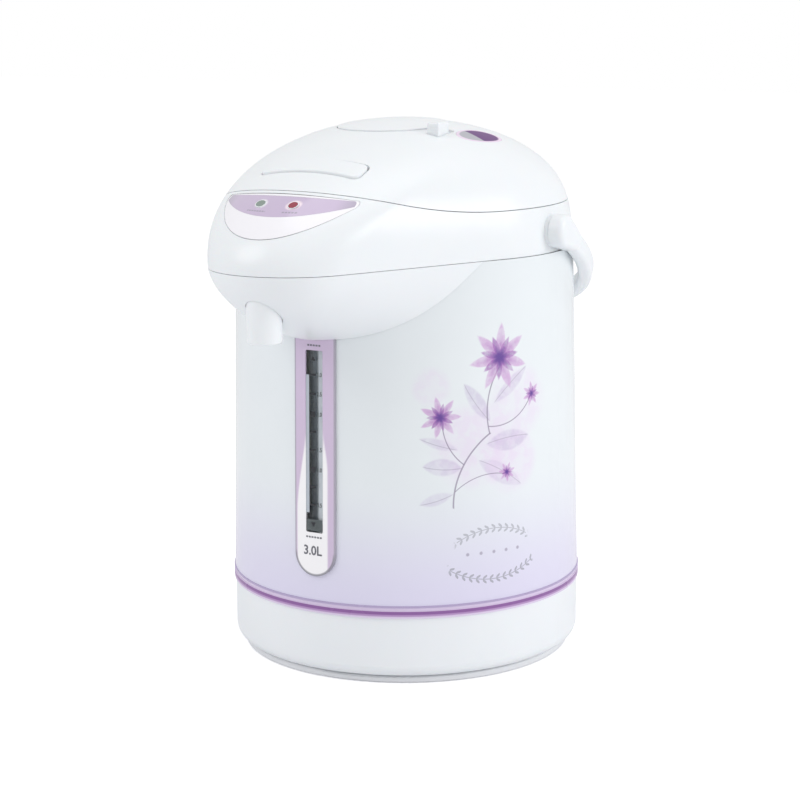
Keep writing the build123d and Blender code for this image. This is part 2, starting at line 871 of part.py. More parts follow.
with BuildPart() as inner_pot:
    with BuildSketch(Plane.XZ) as pot_section:
        with BuildLine():
            Polyline(
                (0, pot_bottom_height),
                (pot_radius, pot_bottom_height),
                (pot_radius, pot_shoulder_height),
                (pot_neck_radius, pot_neck_height),
                (pot_neck_radius, pot_flange_height),
                (pot_flange_radius, pot_flange_height),
                (pot_flange_radius, pot_flange_height + pot_flange_thickness),
                (pot_neck_radius - pot_wall, pot_flange_height + pot_flange_thickness),
                (pot_neck_radius - pot_wall, pot_neck_height - pot_wall / 2),
                (pot_radius - pot_wall, pot_shoulder_height - pot_wall / 2),
                (pot_radius - pot_wall, pot_bottom_height + pot_wall),
                (0, pot_bottom_height + pot_wall),
                close=True,
            )
        make_face()
        foot_corners = pot_section.vertices().filter_by_position(
            Axis.Y, pot_bottom_height, pot_bottom_height + pot_wall
        ).sort_by(Axis.X)
        fillet(foot_corners[-1], pot_corner_radius)
        fillet(
            pot_section.vertices().sort_by_distance((
                pot_radius - pot_wall, pot_bottom_height + pot_wall
            ))[0],
            pot_corner_radius - pot_wall,
        )
    revolve(axis=Axis.Z)
    with BuildSketch(Plane.XY.offset(pot_bottom_height - outlet_length)):
        with Locations((0, outlet_y)):
            Circle(tube_radius)
    extrude(amount=outlet_length)
    with BuildSketch(Plane.XY.offset(pot_bottom_height - outlet_length)):
        with Locations((0, outlet_y)):
            Circle(tube_bore)
    extrude(amount=outlet_length + pot_wall, mode=Mode.SUBTRACT)
save(inner_pot, "inner_pot")

seal_foot_height = pot_flange_height + pot_flange_thickness

with BuildPart() as pot_seal:
    add(ring(seal_inner_radius, seal_outer_radius, seal_foot_height, mouth_foot_height))
save(pot_seal, "pot_seal")

with BuildPart() as heater_plate:
    with BuildSketch(Plane.XY.offset(pot_bottom_height - heater_thickness)):
        Circle(heater_radius)
    extrude(amount=heater_thickness)
save(heater_plate, "heater_plate")

band_seat_radius = pot_radius + running_gap

with BuildPart() as heater_band:
    add(ring(
        band_seat_radius, band_seat_radius + heater_band_thickness,
        heater_band_foot, heater_band_foot + heater_band_height,
    ))
save(heater_band, "heater_band")

with BuildPart() as insulation_sleeve:
    add(ring(band_seat_radius, band_seat_radius + sleeve_thickness, sleeve_foot, sleeve_top))
save(insulation_sleeve, "insulation_sleeve")

heater_foot = pot_bottom_height - heater_thickness

with BuildPart() as thermostat:
    with BuildSketch(Plane.XY.offset(heater_foot)):
        Circle(thermostat_radius)
    extrude(amount=-thermostat_height)
    chamfer(thermostat.faces().sort_by(Axis.Z)[0].edges(), thermostat_edge)
save(thermostat, "thermostat")

with BuildPart() as thermal_fuse:
    with BuildSketch(Plane.YZ.offset(-fuse_length / 2)):
        with Locations((fuse_y, heater_foot - fuse_radius)):
            Circle(fuse_radius)
    extrude(amount=fuse_length)
save(thermal_fuse, "thermal_fuse")

with BuildPart() as terminal_block:
    with BuildSketch(Plane.XY.offset(cover_top)):
        with Locations((terminal_x, terminal_y)):
            Rectangle(terminal_length, terminal_width)
    extrude(amount=terminal_height)
save(terminal_block, "terminal_block")

# ==== shoulder ===================================================================================

skirt_radius = jacket_radius(crease_height) - jacket_wall - jacket_lip_width - seat_gap
lamp_drop = sin(radians(lamp_slope))
lamp_lift = cos(radians(lamp_slope))
_, lamp_reach, lamp_tip = head_section(lamp_height, 0.0)
lamp_face_y = lamp_tip - lamp_reach - sqrt(lamp_tip**2 - (lamp_spacing / 2) ** 2)
lamp_plane = Plane(
    origin=(0, lamp_face_y, lamp_height), x_dir=(1, 0, 0), z_dir=(0, -lamp_drop, lamp_lift)
)
board_top = -lamp_length


def panel_prism(margin, low):
    """Block behind the panel's outline, cut off below a wide arc that bottoms out at a height."""
    tip = panel_half_width + margin
    with BuildPart() as prism:
        with BuildSketch(Plane.XZ) as outline:
            with BuildLine():
                ThreePointArc(
                    (-tip, panel_tip_height), (0, panel_bottom_height - margin), (tip, panel_tip_height)
                )
                ThreePointArc(
                    (tip, panel_tip_height), (0, panel_top_height + margin), (-tip, panel_tip_height)
                )
            make_face()
            fillet(outline.vertices(), panel_corner_radius)
            with Locations((0, low + lens_bow_radius)):
                Circle(lens_bow_radius, mode=Mode.INTERSECT)
        extrude(amount=beak_reach + head_radius)
    return prism.part


def dome_plate(front, back, outline):
    """Piece of the head's skin between two depths, inside an outline's block."""
    with BuildPart() as plate:
        add(head_form(front))
        add(head_form(back), mode=Mode.SUBTRACT)
        add(outline, mode=Mode.INTERSECT)
    return plate.part


def lamp_rods(radius, low, high):
    """Round rods on the lamps' axes, from low to high along them."""
    with BuildPart() as rods:
        with BuildSketch(lamp_plane.offset(low)):
            with GridLocations(lamp_spacing, 0, 2, 1):
                Circle(radius)
        extrude(amount=high - low)
    return rods.part


with BuildPart() as board_posts:
    with BuildSketch(lamp_plane.offset(board_top)):
        with GridLocations(board_post_spacing, 0, 2, 1):
            Circle(board_post_radius)
    extrude(amount=lamp_length)
    add(head_form(panel_pocket_depth), mode=Mode.INTERSECT)

with BuildPart() as shoulder_housing:
    add(head_outer)
    add(head_inner, mode=Mode.SUBTRACT)
    add(ring(skirt_radius - skirt_wall, skirt_radius, crease_height - skirt_depth, carrier_top))
    add(ring(carrier_bore_radius, head_radius - shell_wall, carrier_bottom, carrier_top))
    add(above_seam(-seam_gap / 2), mode=Mode.SUBTRACT)
    with BuildSketch(Plane.YZ.offset(ear_inner_x)):
        with Locations((handle_pivot_y, handle_pivot_height)):
            Circle(ear_inner_radius)
    extrude(amount=ear_face_x - ear_inner_x)
    with BuildSketch(Plane.YZ.offset(head_radius - shell_wall)):
        with Locations((handle_pivot_y, handle_pivot_height)):
            Circle(ear_radius)
    extrude(amount=ear_face_x - head_radius + shell_wall)
    with BuildSketch(Plane.YZ.offset(-ear_inner_x)):
        with Locations((handle_pivot_y, handle_pivot_height)):
            Circle(ear_inner_radius)
    extrude(amount=ear_inner_x - ear_face_x)
    with BuildSketch(Plane.YZ.offset(shell_wall - head_radius)):
        with Locations((handle_pivot_y, handle_pivot_height)):
            Circle(ear_radius)
    extrude(amount=head_radius - shell_wall - ear_face_x)
    with BuildSketch(Plane.YZ):
        with Locations((handle_pivot_y, handle_pivot_height)):
            Circle(pivot_radius + running_gap)
    extrude(amount=beak_reach, both=True, mode=Mode.SUBTRACT)
    with BuildSketch(Plane.YZ):
        with Locations((hinge_y, seam_height)):
            Circle(knuckle_radius)
        with Locations((hinge_y, seam_height - seam_gap / 2)):
            Rectangle(
                knuckle_arm_reach, knuckle_arm_height, align=(Align.MAX, Align.MAX)
            )
    extrude(amount=knuckle_half_width + seat_gap + knuckle_side_width, both=True)
    with BuildSketch(Plane.YZ):
        with Locations((hinge_y, seam_height)):
            Circle(knuckle_radius + moving_gap)
    extrude(amount=knuckle_half_width + seat_gap, both=True, mode=Mode.SUBTRACT)
    with BuildSketch(Plane.YZ):
        with Locations((hinge_y, seam_height)):
            Circle(hinge_pin_radius + running_gap)
    extrude(amount=head_radius / 2, both=True, mode=Mode.SUBTRACT)
    add(board_posts.part)
    add(
        dome_plate(-moving_gap, panel_pocket_depth, panel_prism(seat_gap, crease_height)),
        mode=Mode.SUBTRACT,
    )
    add(lamp_rods(lamp_radius + running_gap, board_top, lamp_length), mode=Mode.SUBTRACT)
    add(spout_notch(crease_height - skirt_depth - seat_gap, carrier_bottom), mode=Mode.SUBTRACT)
save(shoulder_housing, "shoulder_housing")

mouth_slope = (mouth_radius - mouth_foot_radius) / (seam_height - mouth_foot_height)
mouth_roof_height = seam_height + 2 * knuckle_radius
mouth_roof_radius = mouth_foot_radius + mouth_slope * (mouth_roof_height - mouth_foot_height)


def mouth_cone(offset, bottom, top):
    """Solid taper of the mouth, grown by offset."""
    with BuildPart() as cone:
        with BuildSketch(Plane.XZ):
            with BuildLine():
                Polyline(
                    (0, bottom),
                    (mouth_foot_radius + mouth_slope * (bottom - mouth_foot_height) + offset, bottom),
                    (mouth_foot_radius + mouth_slope * (top - mouth_foot_height) + offset, top),
                    (0, top),
                    close=True,
                )
            make_face()
        revolve(axis=Axis.Z)
    return cone.part


with BuildPart() as mouth_collar:
    add(head_form(shell_wall + seat_gap))
    add(seam_band(-deck_drop - deck_thickness, -deck_drop), mode=Mode.INTERSECT)
    add(mouth_cone(mouth_wall, mouth_foot_height, mouth_roof_height))
    add(above_seam(-deck_drop), mode=Mode.SUBTRACT)
    add(ring(
        mouth_foot_radius + mouth_wall / 2, mouth_flange_radius,
        carrier_top, carrier_top + mouth_flange_thickness,
    ))
    add(mouth_cone(0.0, mouth_foot_height, mouth_roof_height), mode=Mode.SUBTRACT)
save(mouth_collar, "mouth_collar")

with BuildPart() as handle_pivots:
    with BuildSketch(Plane.YZ.offset(ear_inner_x)):
        with Locations((handle_pivot_y, handle_pivot_height)):
            Circle(pivot_radius)
    extrude(amount=handle_inner_half_width + pivot_bite - ear_inner_x)
    with BuildSketch(Plane.YZ.offset(ear_inner_x)):
        with Locations((handle_pivot_y, handle_pivot_height)):
            Circle(pivot_head_radius)
    extrude(amount=-pivot_head_thickness)
    mirror(about=Plane.YZ)
save(handle_pivots, "handle_pivots")

with BuildPart() as hinge_pin:
    with BuildSketch(Plane.YZ):
        with Locations((hinge_y, seam_height)):
            Circle(hinge_pin_radius)
    extrude(amount=knuckle_half_width + knuckle_side_width, both=True)
save(hinge_pin, "hinge_pin")

# ==== beak cover =================================================================================

cover_crest = crease_height - seat_gap
rim_outset = shell_wall + seat_gap


def egg_rim(outset, inset, bottom, top):
    """Upright rim that follows the crease between two depths."""
    with BuildPart() as rim:
        add(egg_section(bottom, head_radius - outset, beak_reach - outset, beak_tip_radius - outset))
        extrude(amount=top - bottom)
        add(egg_section(bottom, head_radius - inset, beak_reach - inset, beak_tip_radius - inset))
        extrude(amount=top - bottom, mode=Mode.SUBTRACT)
    return rim.part


with BuildPart() as beak_cover:
    add(beak_outer)
    add(beak_form(beak_wall), mode=Mode.SUBTRACT)
    split(bisect_by=Plane.XY.offset(cover_crest), keep=Keep.BOTTOM)
    add(egg_rim(beak_wall - seat_gap, rim_outset + rim_wall, cover_crest - ledge_height, cover_crest))
    add(egg_rim(rim_outset, rim_outset + rim_wall, cover_crest, crease_height + rim_height))
    add(jacket_core(seat_gap, crease_height - beak_drop - seam_gap, seam_height), mode=Mode.SUBTRACT)
    add(gauge_plate(0.0, seat_gap), mode=Mode.SUBTRACT)
    with BuildSketch(Plane.XY.offset(nozzle_foot_height)):
        with Locations((0, nozzle_y)):
            Circle(nozzle_radius + seat_gap)
    extrude(amount=nozzle_top_height + seat_gap - nozzle_foot_height, mode=Mode.SUBTRACT)
save(beak_cover, "beak_cover")

# ==== control panel ==============================================================================

lens_back = panel_sink + lens_thickness

with BuildPart() as control_panel:
    add(dome_plate(panel_sink, panel_sink + panel_thickness, panel_prism(0.0, crease_height)))
    add(
        dome_plate(0.0, lens_back, panel_prism(-lens_margin, lens_bottom_height)),
        mode=Mode.SUBTRACT,
    )
    add(lamp_rods(lamp_radius + running_gap, board_top, lamp_length), mode=Mode.SUBTRACT)
save(control_panel, "control_panel")

with BuildPart() as panel_lens:
    add(dome_plate(
        panel_sink, lens_back,
        panel_prism(-lens_margin - running_gap, lens_bottom_height + running_gap),
    ))
    add(lamp_rods(lamp_radius + running_gap, board_top, lamp_length), mode=Mode.SUBTRACT)
save(panel_lens, "panel_lens")

with BuildPart() as keep_warm_lamp:
    with BuildSketch(lamp_plane.offset(board_top)):
        with Locations((lamp_spacing / 2, 0)):
            Circle(lamp_radius)
    extrude(amount=lamp_length + lamp_rise)
save(keep_warm_lamp, "keep_warm_lamp")

with BuildPart() as boil_lamp:
    add(keep_warm_lamp.part)
    mirror(about=Plane.YZ)
    split(bisect_by=Plane.YZ.rotated((0, 0, 180)))
save(boil_lamp, "boil_lamp")

with BuildPart() as indicator_board:
    with BuildSketch(lamp_plane.offset(board_top)):
        Rectangle(board_width, board_depth)
    extrude(amount=-board_thickness)
save(indicator_board, "indicator_board")

# ==== carrying handle ============================================================================

handle_outer_half_width = handle_inner_half_width + handle_thickness
handle_outer_reach = handle_inner_reach + handle_thickness
rest = radians(handle_rest_angle)
handle_plane = Plane(
    origin=(0, handle_pivot_y, handle_pivot_height), x_dir=(1, 0, 0), z_dir=(0, sin(rest), cos(rest))
)

with BuildPart() as handle_eyes:
    with BuildSketch(Plane.YZ.offset(handle_inner_half_width - handle_eye_rise)):
        with Locations((handle_pivot_y, handle_pivot_height)):
            Circle(handle_eye_radius)
            with Locations((handle_eye_tail * cos(rest), -handle_eye_tail * sin(rest))):
                Circle(handle_width / 2)
        make_hull()
    extrude(amount=handle_thickness + 2 * handle_eye_rise)
    fillet(handle_eyes.faces().sort_by(Axis.X)[-1].edges(), handle_edge_radius)
    mirror(about=Plane.YZ)

with BuildPart() as handle:
    with BuildSketch(handle_plane):
        with BuildLine():
            EllipticalCenterArc(
                (0, 0), handle_outer_half_width, handle_outer_reach, arc_size=180
            )
            EllipticalCenterArc(
                (0, 0), handle_inner_half_width, handle_inner_reach, arc_size=180
            )
            Line((handle_inner_half_width, 0), (handle_outer_half_width, 0))
            Line((-handle_inner_half_width, 0), (-handle_outer_half_width, 0))
        make_face()
    extrude(amount=handle_width / 2, both=True)
    fillet(handle.edges().filter_by(GeomType.ELLIPSE), handle_edge_radius)
    add(handle_eyes.part)
    with BuildSketch(Plane.YZ):
        with Locations((handle_pivot_y, handle_pivot_height)):
            Circle(pivot_radius + running_gap)
    extrude(amount=handle_inner_half_width + pivot_bite + seat_gap, both=True, mode=Mode.SUBTRACT)
save(handle, "handle")

# ==== lid ========================================================================================

well_bore = pad_radius + moving_gap
plug_floor_height = plug_foot_height + plug_wall
plug_roof_height = seam_height + 2 * lid_plate_thickness


def lever_block(margin, rear_gap, bottom, top):
    """Upright block of the lever's outline, grown by margin and once more at the rear."""
    with BuildPart() as block:
        with BuildSketch(Plane.XY.offset(bottom)):
            with Locations((0, lever_front_y - margin)):
                RectangleRounded(
                    2 * (lever_half_length + margin),
                    lever_depth + 2 * margin + rear_gap,
                    lever_corner_radius + margin,
                    align=(Align.CENTER, Align.MIN),
                )
        extrude(amount=top - bottom)
    return block.part


def label_prism(margin):
    """Upright block of the lock label's outline, grown by margin."""
    with BuildPart() as prism:
        with BuildSketch(Plane.XY.offset(seam_height)):
            with Locations(Location((label_x, label_y, 0), (0, 0, label_turn))):
                Ellipse(label_half_length + margin, label_half_width + margin)
        extrude(amount=head_height)
    return prism.part


def plug_cone(offset, bottom, top):
    """Solid taper of the lid's plug, grown by offset."""
    slope = (plug_top_radius - plug_foot_radius) / (seam_height - plug_foot_height)
    with BuildPart() as cone:
        with BuildSketch(Plane.XZ):
            with BuildLine():
                Polyline(
                    (0, bottom),
                    (plug_foot_radius + slope * (bottom - plug_foot_height) + offset, bottom),
                    (plug_foot_radius + slope * (top - plug_foot_height) + offset, top),
                    (0, top),
                    close=True,
                )
            make_face()
        revolve(axis=Axis.Z)
    return cone.part


with BuildPart() as lid_inside:
    with BuildSketch(Plane.XY.offset(well_foot_height)):
        with Locations((0, pad_centre_y)):
            Circle(well_bore + well_wall)
    extrude(amount=head_height)
    add(lever_block(
        moving_gap + lever_pocket_wall, lever_rear_gap,
        lever_pocket_height - lever_pocket_wall, crease_height + head_height,
    ))
    with BuildSketch(Plane.XY.offset(lock_keeper_height + moving_gap)):
        with Locations((lock_x, lock_y + lock_travel / 2)):
            Rectangle(
                lock_length + 2 * (moving_gap + lock_wall),
                lock_width + lock_travel + 2 * (moving_gap + lock_wall),
            )
    extrude(amount=head_height)
    add(head_inner, mode=Mode.INTERSECT)

with BuildPart() as lid_shell:
    add(head_outer)
    add(head_inner, mode=Mode.SUBTRACT)
    add(lid_inside.part)
    add(above_seam(seam_gap / 2), mode=Mode.INTERSECT)
    with BuildSketch(Plane.XY.offset(well_foot_height)):
        with Locations((0, pad_centre_y)):
            Circle(well_bore)
    extrude(amount=head_height, mode=Mode.SUBTRACT)
    add(
        lever_block(moving_gap, lever_rear_gap, lever_pocket_height, crease_height + head_height),
        mode=Mode.SUBTRACT,
    )
    with BuildSketch(Plane.XY.offset(lock_pocket_height)):
        with Locations((lock_x, lock_y + lock_travel / 2)):
            Rectangle(lock_length + 2 * moving_gap, lock_width + lock_travel + 2 * moving_gap)
    extrude(amount=head_height, mode=Mode.SUBTRACT)
    with BuildSketch(Plane.XY.offset(lock_keeper_height)):
        with Locations((lock_x, lock_y + lock_travel / 2)):
            Rectangle(
                lock_stem_width + 2 * moving_gap, lock_stem_width + lock_travel + 2 * moving_gap
            )
    extrude(amount=head_height, mode=Mode.SUBTRACT)
    add(dome_plate(-moving_gap, label_thickness, label_prism(seat_gap / 2)), mode=Mode.SUBTRACT)
    with BuildSketch(Plane.YZ):
        with Locations((hinge_y, seam_height)):
            Circle(knuckle_radius + moving_gap)
    extrude(
        amount=knuckle_half_width + knuckle_side_width + 2 * seat_gap, both=True, mode=Mode.SUBTRACT
    )
    with BuildSketch(Plane.YZ):
        with Locations((hinge_y, seam_height)):
            Circle(knuckle_radius)
        with Locations((hinge_y, seam_height + seam_gap / 2)):
            Rectangle(knuckle_arm_reach, knuckle_arm_height, align=(Align.MAX, Align.MIN))
    extrude(amount=knuckle_half_width, both=True)
    with BuildSketch(Plane.YZ):
        with Locations((hinge_y, seam_height)):
            Circle(hinge_pin_radius + running_gap)
    extrude(amount=knuckle_half_width, both=True, mode=Mode.SUBTRACT)
    with BuildSketch(Plane.YZ):
        with Locations((lever_axle_y, lever_axle_height)):
            Circle(lever_pin_radius + running_gap)
    extrude(amount=lever_half_length + 2 * lever_pocket_wall, both=True, mode=Mode.SUBTRACT)
save(lid_shell, "lid_shell")

with BuildPart() as lid_underside:
    add(head_form(shell_wall + seat_gap))
    add(seam_band(lid_plate_rise, lid_plate_rise + lid_plate_thickness), mode=Mode.INTERSECT)
    add(plug_cone(0.0, plug_foot_height, plug_roof_height))
    add(above_seam(lid_plate_rise + lid_plate_thickness), mode=Mode.SUBTRACT)
    add(plug_cone(-plug_wall, plug_floor_height, plug_roof_height + head_height), mode=Mode.SUBTRACT)
    add(
        ring(
            gasket_seat_radius, plug_top_radius,
            gasket_foot_height - running_gap, gasket_foot_height + gasket_thickness + running_gap,
        ),
        mode=Mode.SUBTRACT,
    )
    with BuildSketch(Plane.XY.offset(plug_foot_height)):
        with Locations((0, pad_centre_y)):
            Circle(flap_stud_radius + running_gap)
            with PolarLocations(air_hole_circle, air_hole_count):
                Circle(air_hole_radius)
    extrude(amount=plug_wall, mode=Mode.SUBTRACT)
save(lid_underside, "lid_underside")

with BuildPart() as lid_gasket:
    add(ring(
        gasket_seat_radius + running_gap, gasket_radius,
        gasket_foot_height, gasket_foot_height + gasket_thickness,
    ))
save(lid_gasket, "lid_gasket")

with BuildPart() as valve_flap:
    with BuildSketch(Plane.XY.offset(plug_foot_height)):
        with Locations((0, pad_centre_y)):
            Circle(flap_radius)
    extrude(amount=-flap_thickness)
    with BuildSketch(Plane.XY.offset(plug_foot_height)):
        with Locations((0, pad_centre_y)):
            Circle(flap_stud_radius)
    extrude(amount=plug_wall + flap_stud_rise)
save(valve_flap, "valve_flap")

with BuildPart() as lock_label:
    add(dome_plate(0.0, label_thickness, label_prism(0.0)))
save(lock_label, "lock_label")

with BuildPart() as lever_pin:
    with BuildSketch(Plane.YZ):
        with Locations((lever_axle_y, lever_axle_height)):
            Circle(lever_pin_radius)
    extrude(amount=lever_half_length + lever_pocket_wall, both=True)
save(lever_pin, "lever_pin")

# ==== pump =======================================================================================

pump_height = pad_roof_height - seat_gap - plug_floor_height
fold_pitch = pump_height / bellows_fold_count


def bellows_side(radius):
    """Zigzag points of the bellows from its foot to its crown."""
    points = [(radius, plug_floor_height)]
    for index in range(bellows_fold_count):
        foot = plug_floor_height + index * fold_pitch
        points.append((radius - bellows_fold_depth, foot + fold_pitch / 2))
        points.append((radius, foot + fold_pitch))
    return points


with BuildPart() as bellows:
    with BuildSketch(Plane.XZ):
        with BuildLine():
            Polyline(
                *bellows_side(bellows_radius),
                *reversed(bellows_side(bellows_radius - bellows_wall)),
                close=True,
            )
        make_face()
    revolve(axis=Axis.Z)
bellows.part.position = (0, pad_centre_y, 0)
save(bellows, "bellows")

spring_height = pump_height - 2 * spring_wire_radius

with BuildPart() as pump_spring:
    with BuildLine() as coil:
        Helix(
            pitch=spring_height / spring_turn_count,
            height=spring_height,
            radius=spring_radius,
            center=(0, pad_centre_y, plug_floor_height + spring_wire_radius),
        )
    with BuildSketch(Plane(origin=coil.line @ 0, z_dir=coil.line % 0)):
        Circle(spring_wire_radius)
    sweep(is_frenet=True)
save(pump_spring, "pump_spring")

with BuildPart() as push_pad:
    with BuildSketch(Plane.XY.offset(pad_foot_height)):
        with Locations((0, pad_centre_y)):
            Circle(pad_radius)
    extrude(amount=head_height)
    add(head_outer.moved(Location((0, 0, pad_rise))), mode=Mode.INTERSECT)
    with BuildSketch(Plane.XY.offset(pad_foot_height)):
        with Locations((0, pad_centre_y)):
            Circle(pad_radius - pad_wall)
    extrude(amount=pad_roof_height - pad_foot_height, mode=Mode.SUBTRACT)
save(push_pad, "push_pad")

# ==== lock and lever =============================================================================

with BuildPart() as lock_slider:
    with BuildSketch(Plane.XY.offset(lock_pocket_height + seat_gap)):
        with Locations((lock_x, lock_y)):
            Rectangle(lock_length, lock_width)
    extrude(amount=lock_top_height - lock_pocket_height - seat_gap)
    fillet(lock_slider.edges().group_by(Axis.Z)[-1], lock_edge_radius)
    with BuildSketch(Plane.XY.offset(lock_keeper_height)):
        with Locations((lock_x, lock_y)):
            Rectangle(lock_stem_width, lock_stem_width)
    extrude(amount=lock_pocket_height + seat_gap - lock_keeper_height)
    with BuildSketch(Plane.XY.offset(lock_keeper_height)):
        with Locations((lock_x, lock_y)):
            Rectangle(lock_keeper_width, lock_keeper_width)
    extrude(amount=-lock_keeper_thickness)
save(lock_slider, "lock_slider")

with BuildPart() as lever_lugs:
    with BuildSketch(Plane.YZ.offset(lever_lug_x)):
        with Locations((lever_axle_y, lever_axle_height)):
            Circle(lever_lug_radius)
            Rectangle(
                2 * lever_lug_radius, 2 * lever_lug_radius, align=(Align.CENTER, Align.MIN)
            )
    extrude(amount=lever_lug_width)
    mirror(about=Plane.YZ)

with BuildPart() as lid_lever:
    add(head_form(-lever_rise))
    add(head_form(lever_sink), mode=Mode.SUBTRACT)
    add(
        lever_block(0.0, 0.0, lever_pocket_height, crease_height + head_height + lever_rise),
        mode=Mode.INTERSECT,
    )
    fillet(lid_lever.faces().sort_by(Axis.Z)[-1].edges(), lever_edge_radius)
    add(lever_lugs.part)
    with BuildSketch(Plane.YZ):
        with Locations((lever_axle_y, lever_axle_height)):
            Circle(lever_pin_radius + running_gap)
    extrude(amount=lever_half_length + lever_pocket_wall, both=True, mode=Mode.SUBTRACT)
save(lid_lever, "lid_lever")
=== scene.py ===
import json
import logging
import math
from dataclasses import dataclass, field
from enum import Enum
from typing import Sequence

import bmesh
import bpy
from mathutils import Matrix, Vector

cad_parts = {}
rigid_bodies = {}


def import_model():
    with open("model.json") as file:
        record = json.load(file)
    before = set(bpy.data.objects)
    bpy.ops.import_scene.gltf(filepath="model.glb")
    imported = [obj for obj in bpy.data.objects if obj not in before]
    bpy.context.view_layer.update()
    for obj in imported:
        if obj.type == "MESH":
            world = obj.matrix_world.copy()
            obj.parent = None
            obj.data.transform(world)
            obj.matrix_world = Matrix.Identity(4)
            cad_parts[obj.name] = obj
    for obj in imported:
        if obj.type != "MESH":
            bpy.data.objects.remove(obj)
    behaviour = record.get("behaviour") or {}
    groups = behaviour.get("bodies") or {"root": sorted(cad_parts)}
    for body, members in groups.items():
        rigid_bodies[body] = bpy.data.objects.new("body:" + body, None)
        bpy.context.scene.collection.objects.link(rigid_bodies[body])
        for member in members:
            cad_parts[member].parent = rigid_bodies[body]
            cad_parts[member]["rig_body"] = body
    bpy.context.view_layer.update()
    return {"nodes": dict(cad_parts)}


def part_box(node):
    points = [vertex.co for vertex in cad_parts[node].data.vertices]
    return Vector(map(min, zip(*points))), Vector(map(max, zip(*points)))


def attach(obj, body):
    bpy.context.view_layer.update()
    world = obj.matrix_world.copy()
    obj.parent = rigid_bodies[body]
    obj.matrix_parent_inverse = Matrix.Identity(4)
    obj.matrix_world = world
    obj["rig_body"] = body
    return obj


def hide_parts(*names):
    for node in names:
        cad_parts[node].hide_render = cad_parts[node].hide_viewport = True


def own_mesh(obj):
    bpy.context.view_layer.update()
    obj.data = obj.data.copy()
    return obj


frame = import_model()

LOG = logging.getLogger("thermo_pot")
MM = 0.001
WHITE = "#ffffff"
WELD = 1e-4  # millimetres within which points of a mesh become one
PLATE_EASE = 0.12  # rounding of a plate's edges against its smaller side
CAPITAL_SHARE = 0.7  # height of a capital against the font's size
FIGURE_RAISE = 0.04
FIGURE_WEIGHT = 0.02  # how far figures are thickened against the font's size
Socket = bpy.types.NodeSocket
Shape = bmesh.types.BMesh
Point = tuple[float, float]

# Outside of the tapered jacket, in millimetres.
JACKET_FOOT = 46.8
JACKET_HEIGHT = 191.2
JACKET_FOOT_RADIUS = 102.8
JACKET_TAPER = 4.1

# Sums that the drawn masks are worked out with: node type and setting.
ADD, SUBTRACT, MULTIPLY, MULTIPLY_ADD, DIVIDE, POWER, SQRT = (
    ("Math", {"operation": name}) for name in (
        "ADD", "SUBTRACT", "MULTIPLY", "MULTIPLY_ADD", "DIVIDE", "POWER", "SQRT"))
ABSOLUTE, SINE, ARCTAN2, WRAP, MAXIMUM = (
    ("Math", {"operation": name}) for name in ("ABSOLUTE", "SINE", "ARCTAN2", "WRAP", "MAXIMUM"))


# ---- small tools ------------------------------------------------------------------------------


def linear(code: str) -> tuple[float, float, float, float]:
    """Turn an sRGB hex colour into linear light.

    Args:
        code: Colour as "#rrggbb".

    Returns:
        Linear red, green, blue and an alpha of one.
    """
    parts = [int(code[i:i + 2], 16) / 255 for i in (1, 3, 5)]
    light = [c / 12.92 if c <= 0.04045 else ((c + 0.055) / 1.055) ** 2.4 for c in parts]
    return light[0], light[1], light[2], 1.0


def add_node(tree: bpy.types.NodeTree, kind: str, settings: dict | None = None,
             inputs: dict | None = None) -> bpy.types.Node:
    """Add one node with its settings, socket values and links.

    Args:
        tree: Node tree that gets the node.
        kind: Node type name without its "ShaderNode" prefix.
        settings: Attribute names and their values.
        inputs: Socket names or numbers, each with a value or the output socket that feeds it.

    Returns:
        The new node.
    """
    node = tree.nodes.new("ShaderNode" + kind)
    for name, value in (settings or {}).items():
        setattr(node, name, value)
    for key, value in (inputs or {}).items():
        socket = node.inputs[key]
        if isinstance(value, Socket):
            tree.links.new(value, socket)
        else:
            socket.default_value = value
    return node


def cone_radius(height_mm: float) -> float:
    """Outside radius of the jacket in millimetres at a height in millimetres."""
    return JACKET_FOOT_RADIUS - JACKET_TAPER * (height_mm - JACKET_FOOT) / JACKET_HEIGHT


# ---- inks and drawing -------------------------------------------------------------------------


class Inks(str, Enum):
    """Printing inks on the jacket, the trim band, the gauge, the label and the panel."""

    VIOLET = "#5c3593"
    MAGENTA = "#a868b8"
    PETAL = "#d2a8d8"
    LEAF = "#c3b3d6"
    STEM = "#8b7f98"
    WASH = "#e9daf0"
    LILAC = "#dedaf0"
    GREY = "#85878f"
    LINE_EDGE = "#b48fc2"
    LINE = "#8d5f9e"
    BAND_SHADE = "#b3a4c8"
    FIELD = "#fbfafc"
    FOOT_RIM = "#85848f"
    RIM = "#a09fa9"
    COLUMN = "#d5dbe1"
    CARD_BORDER = "#a19cab"
    LENS_END = "#a49fb0"
    GROUND_WITH_PAINTED_GLOW = "#fbeaf2"
    UNLIT_GROUND = "#ebe8f0"
    FREE = "#b4b4bc"
    LABEL_BORDER = "#efdcf0"


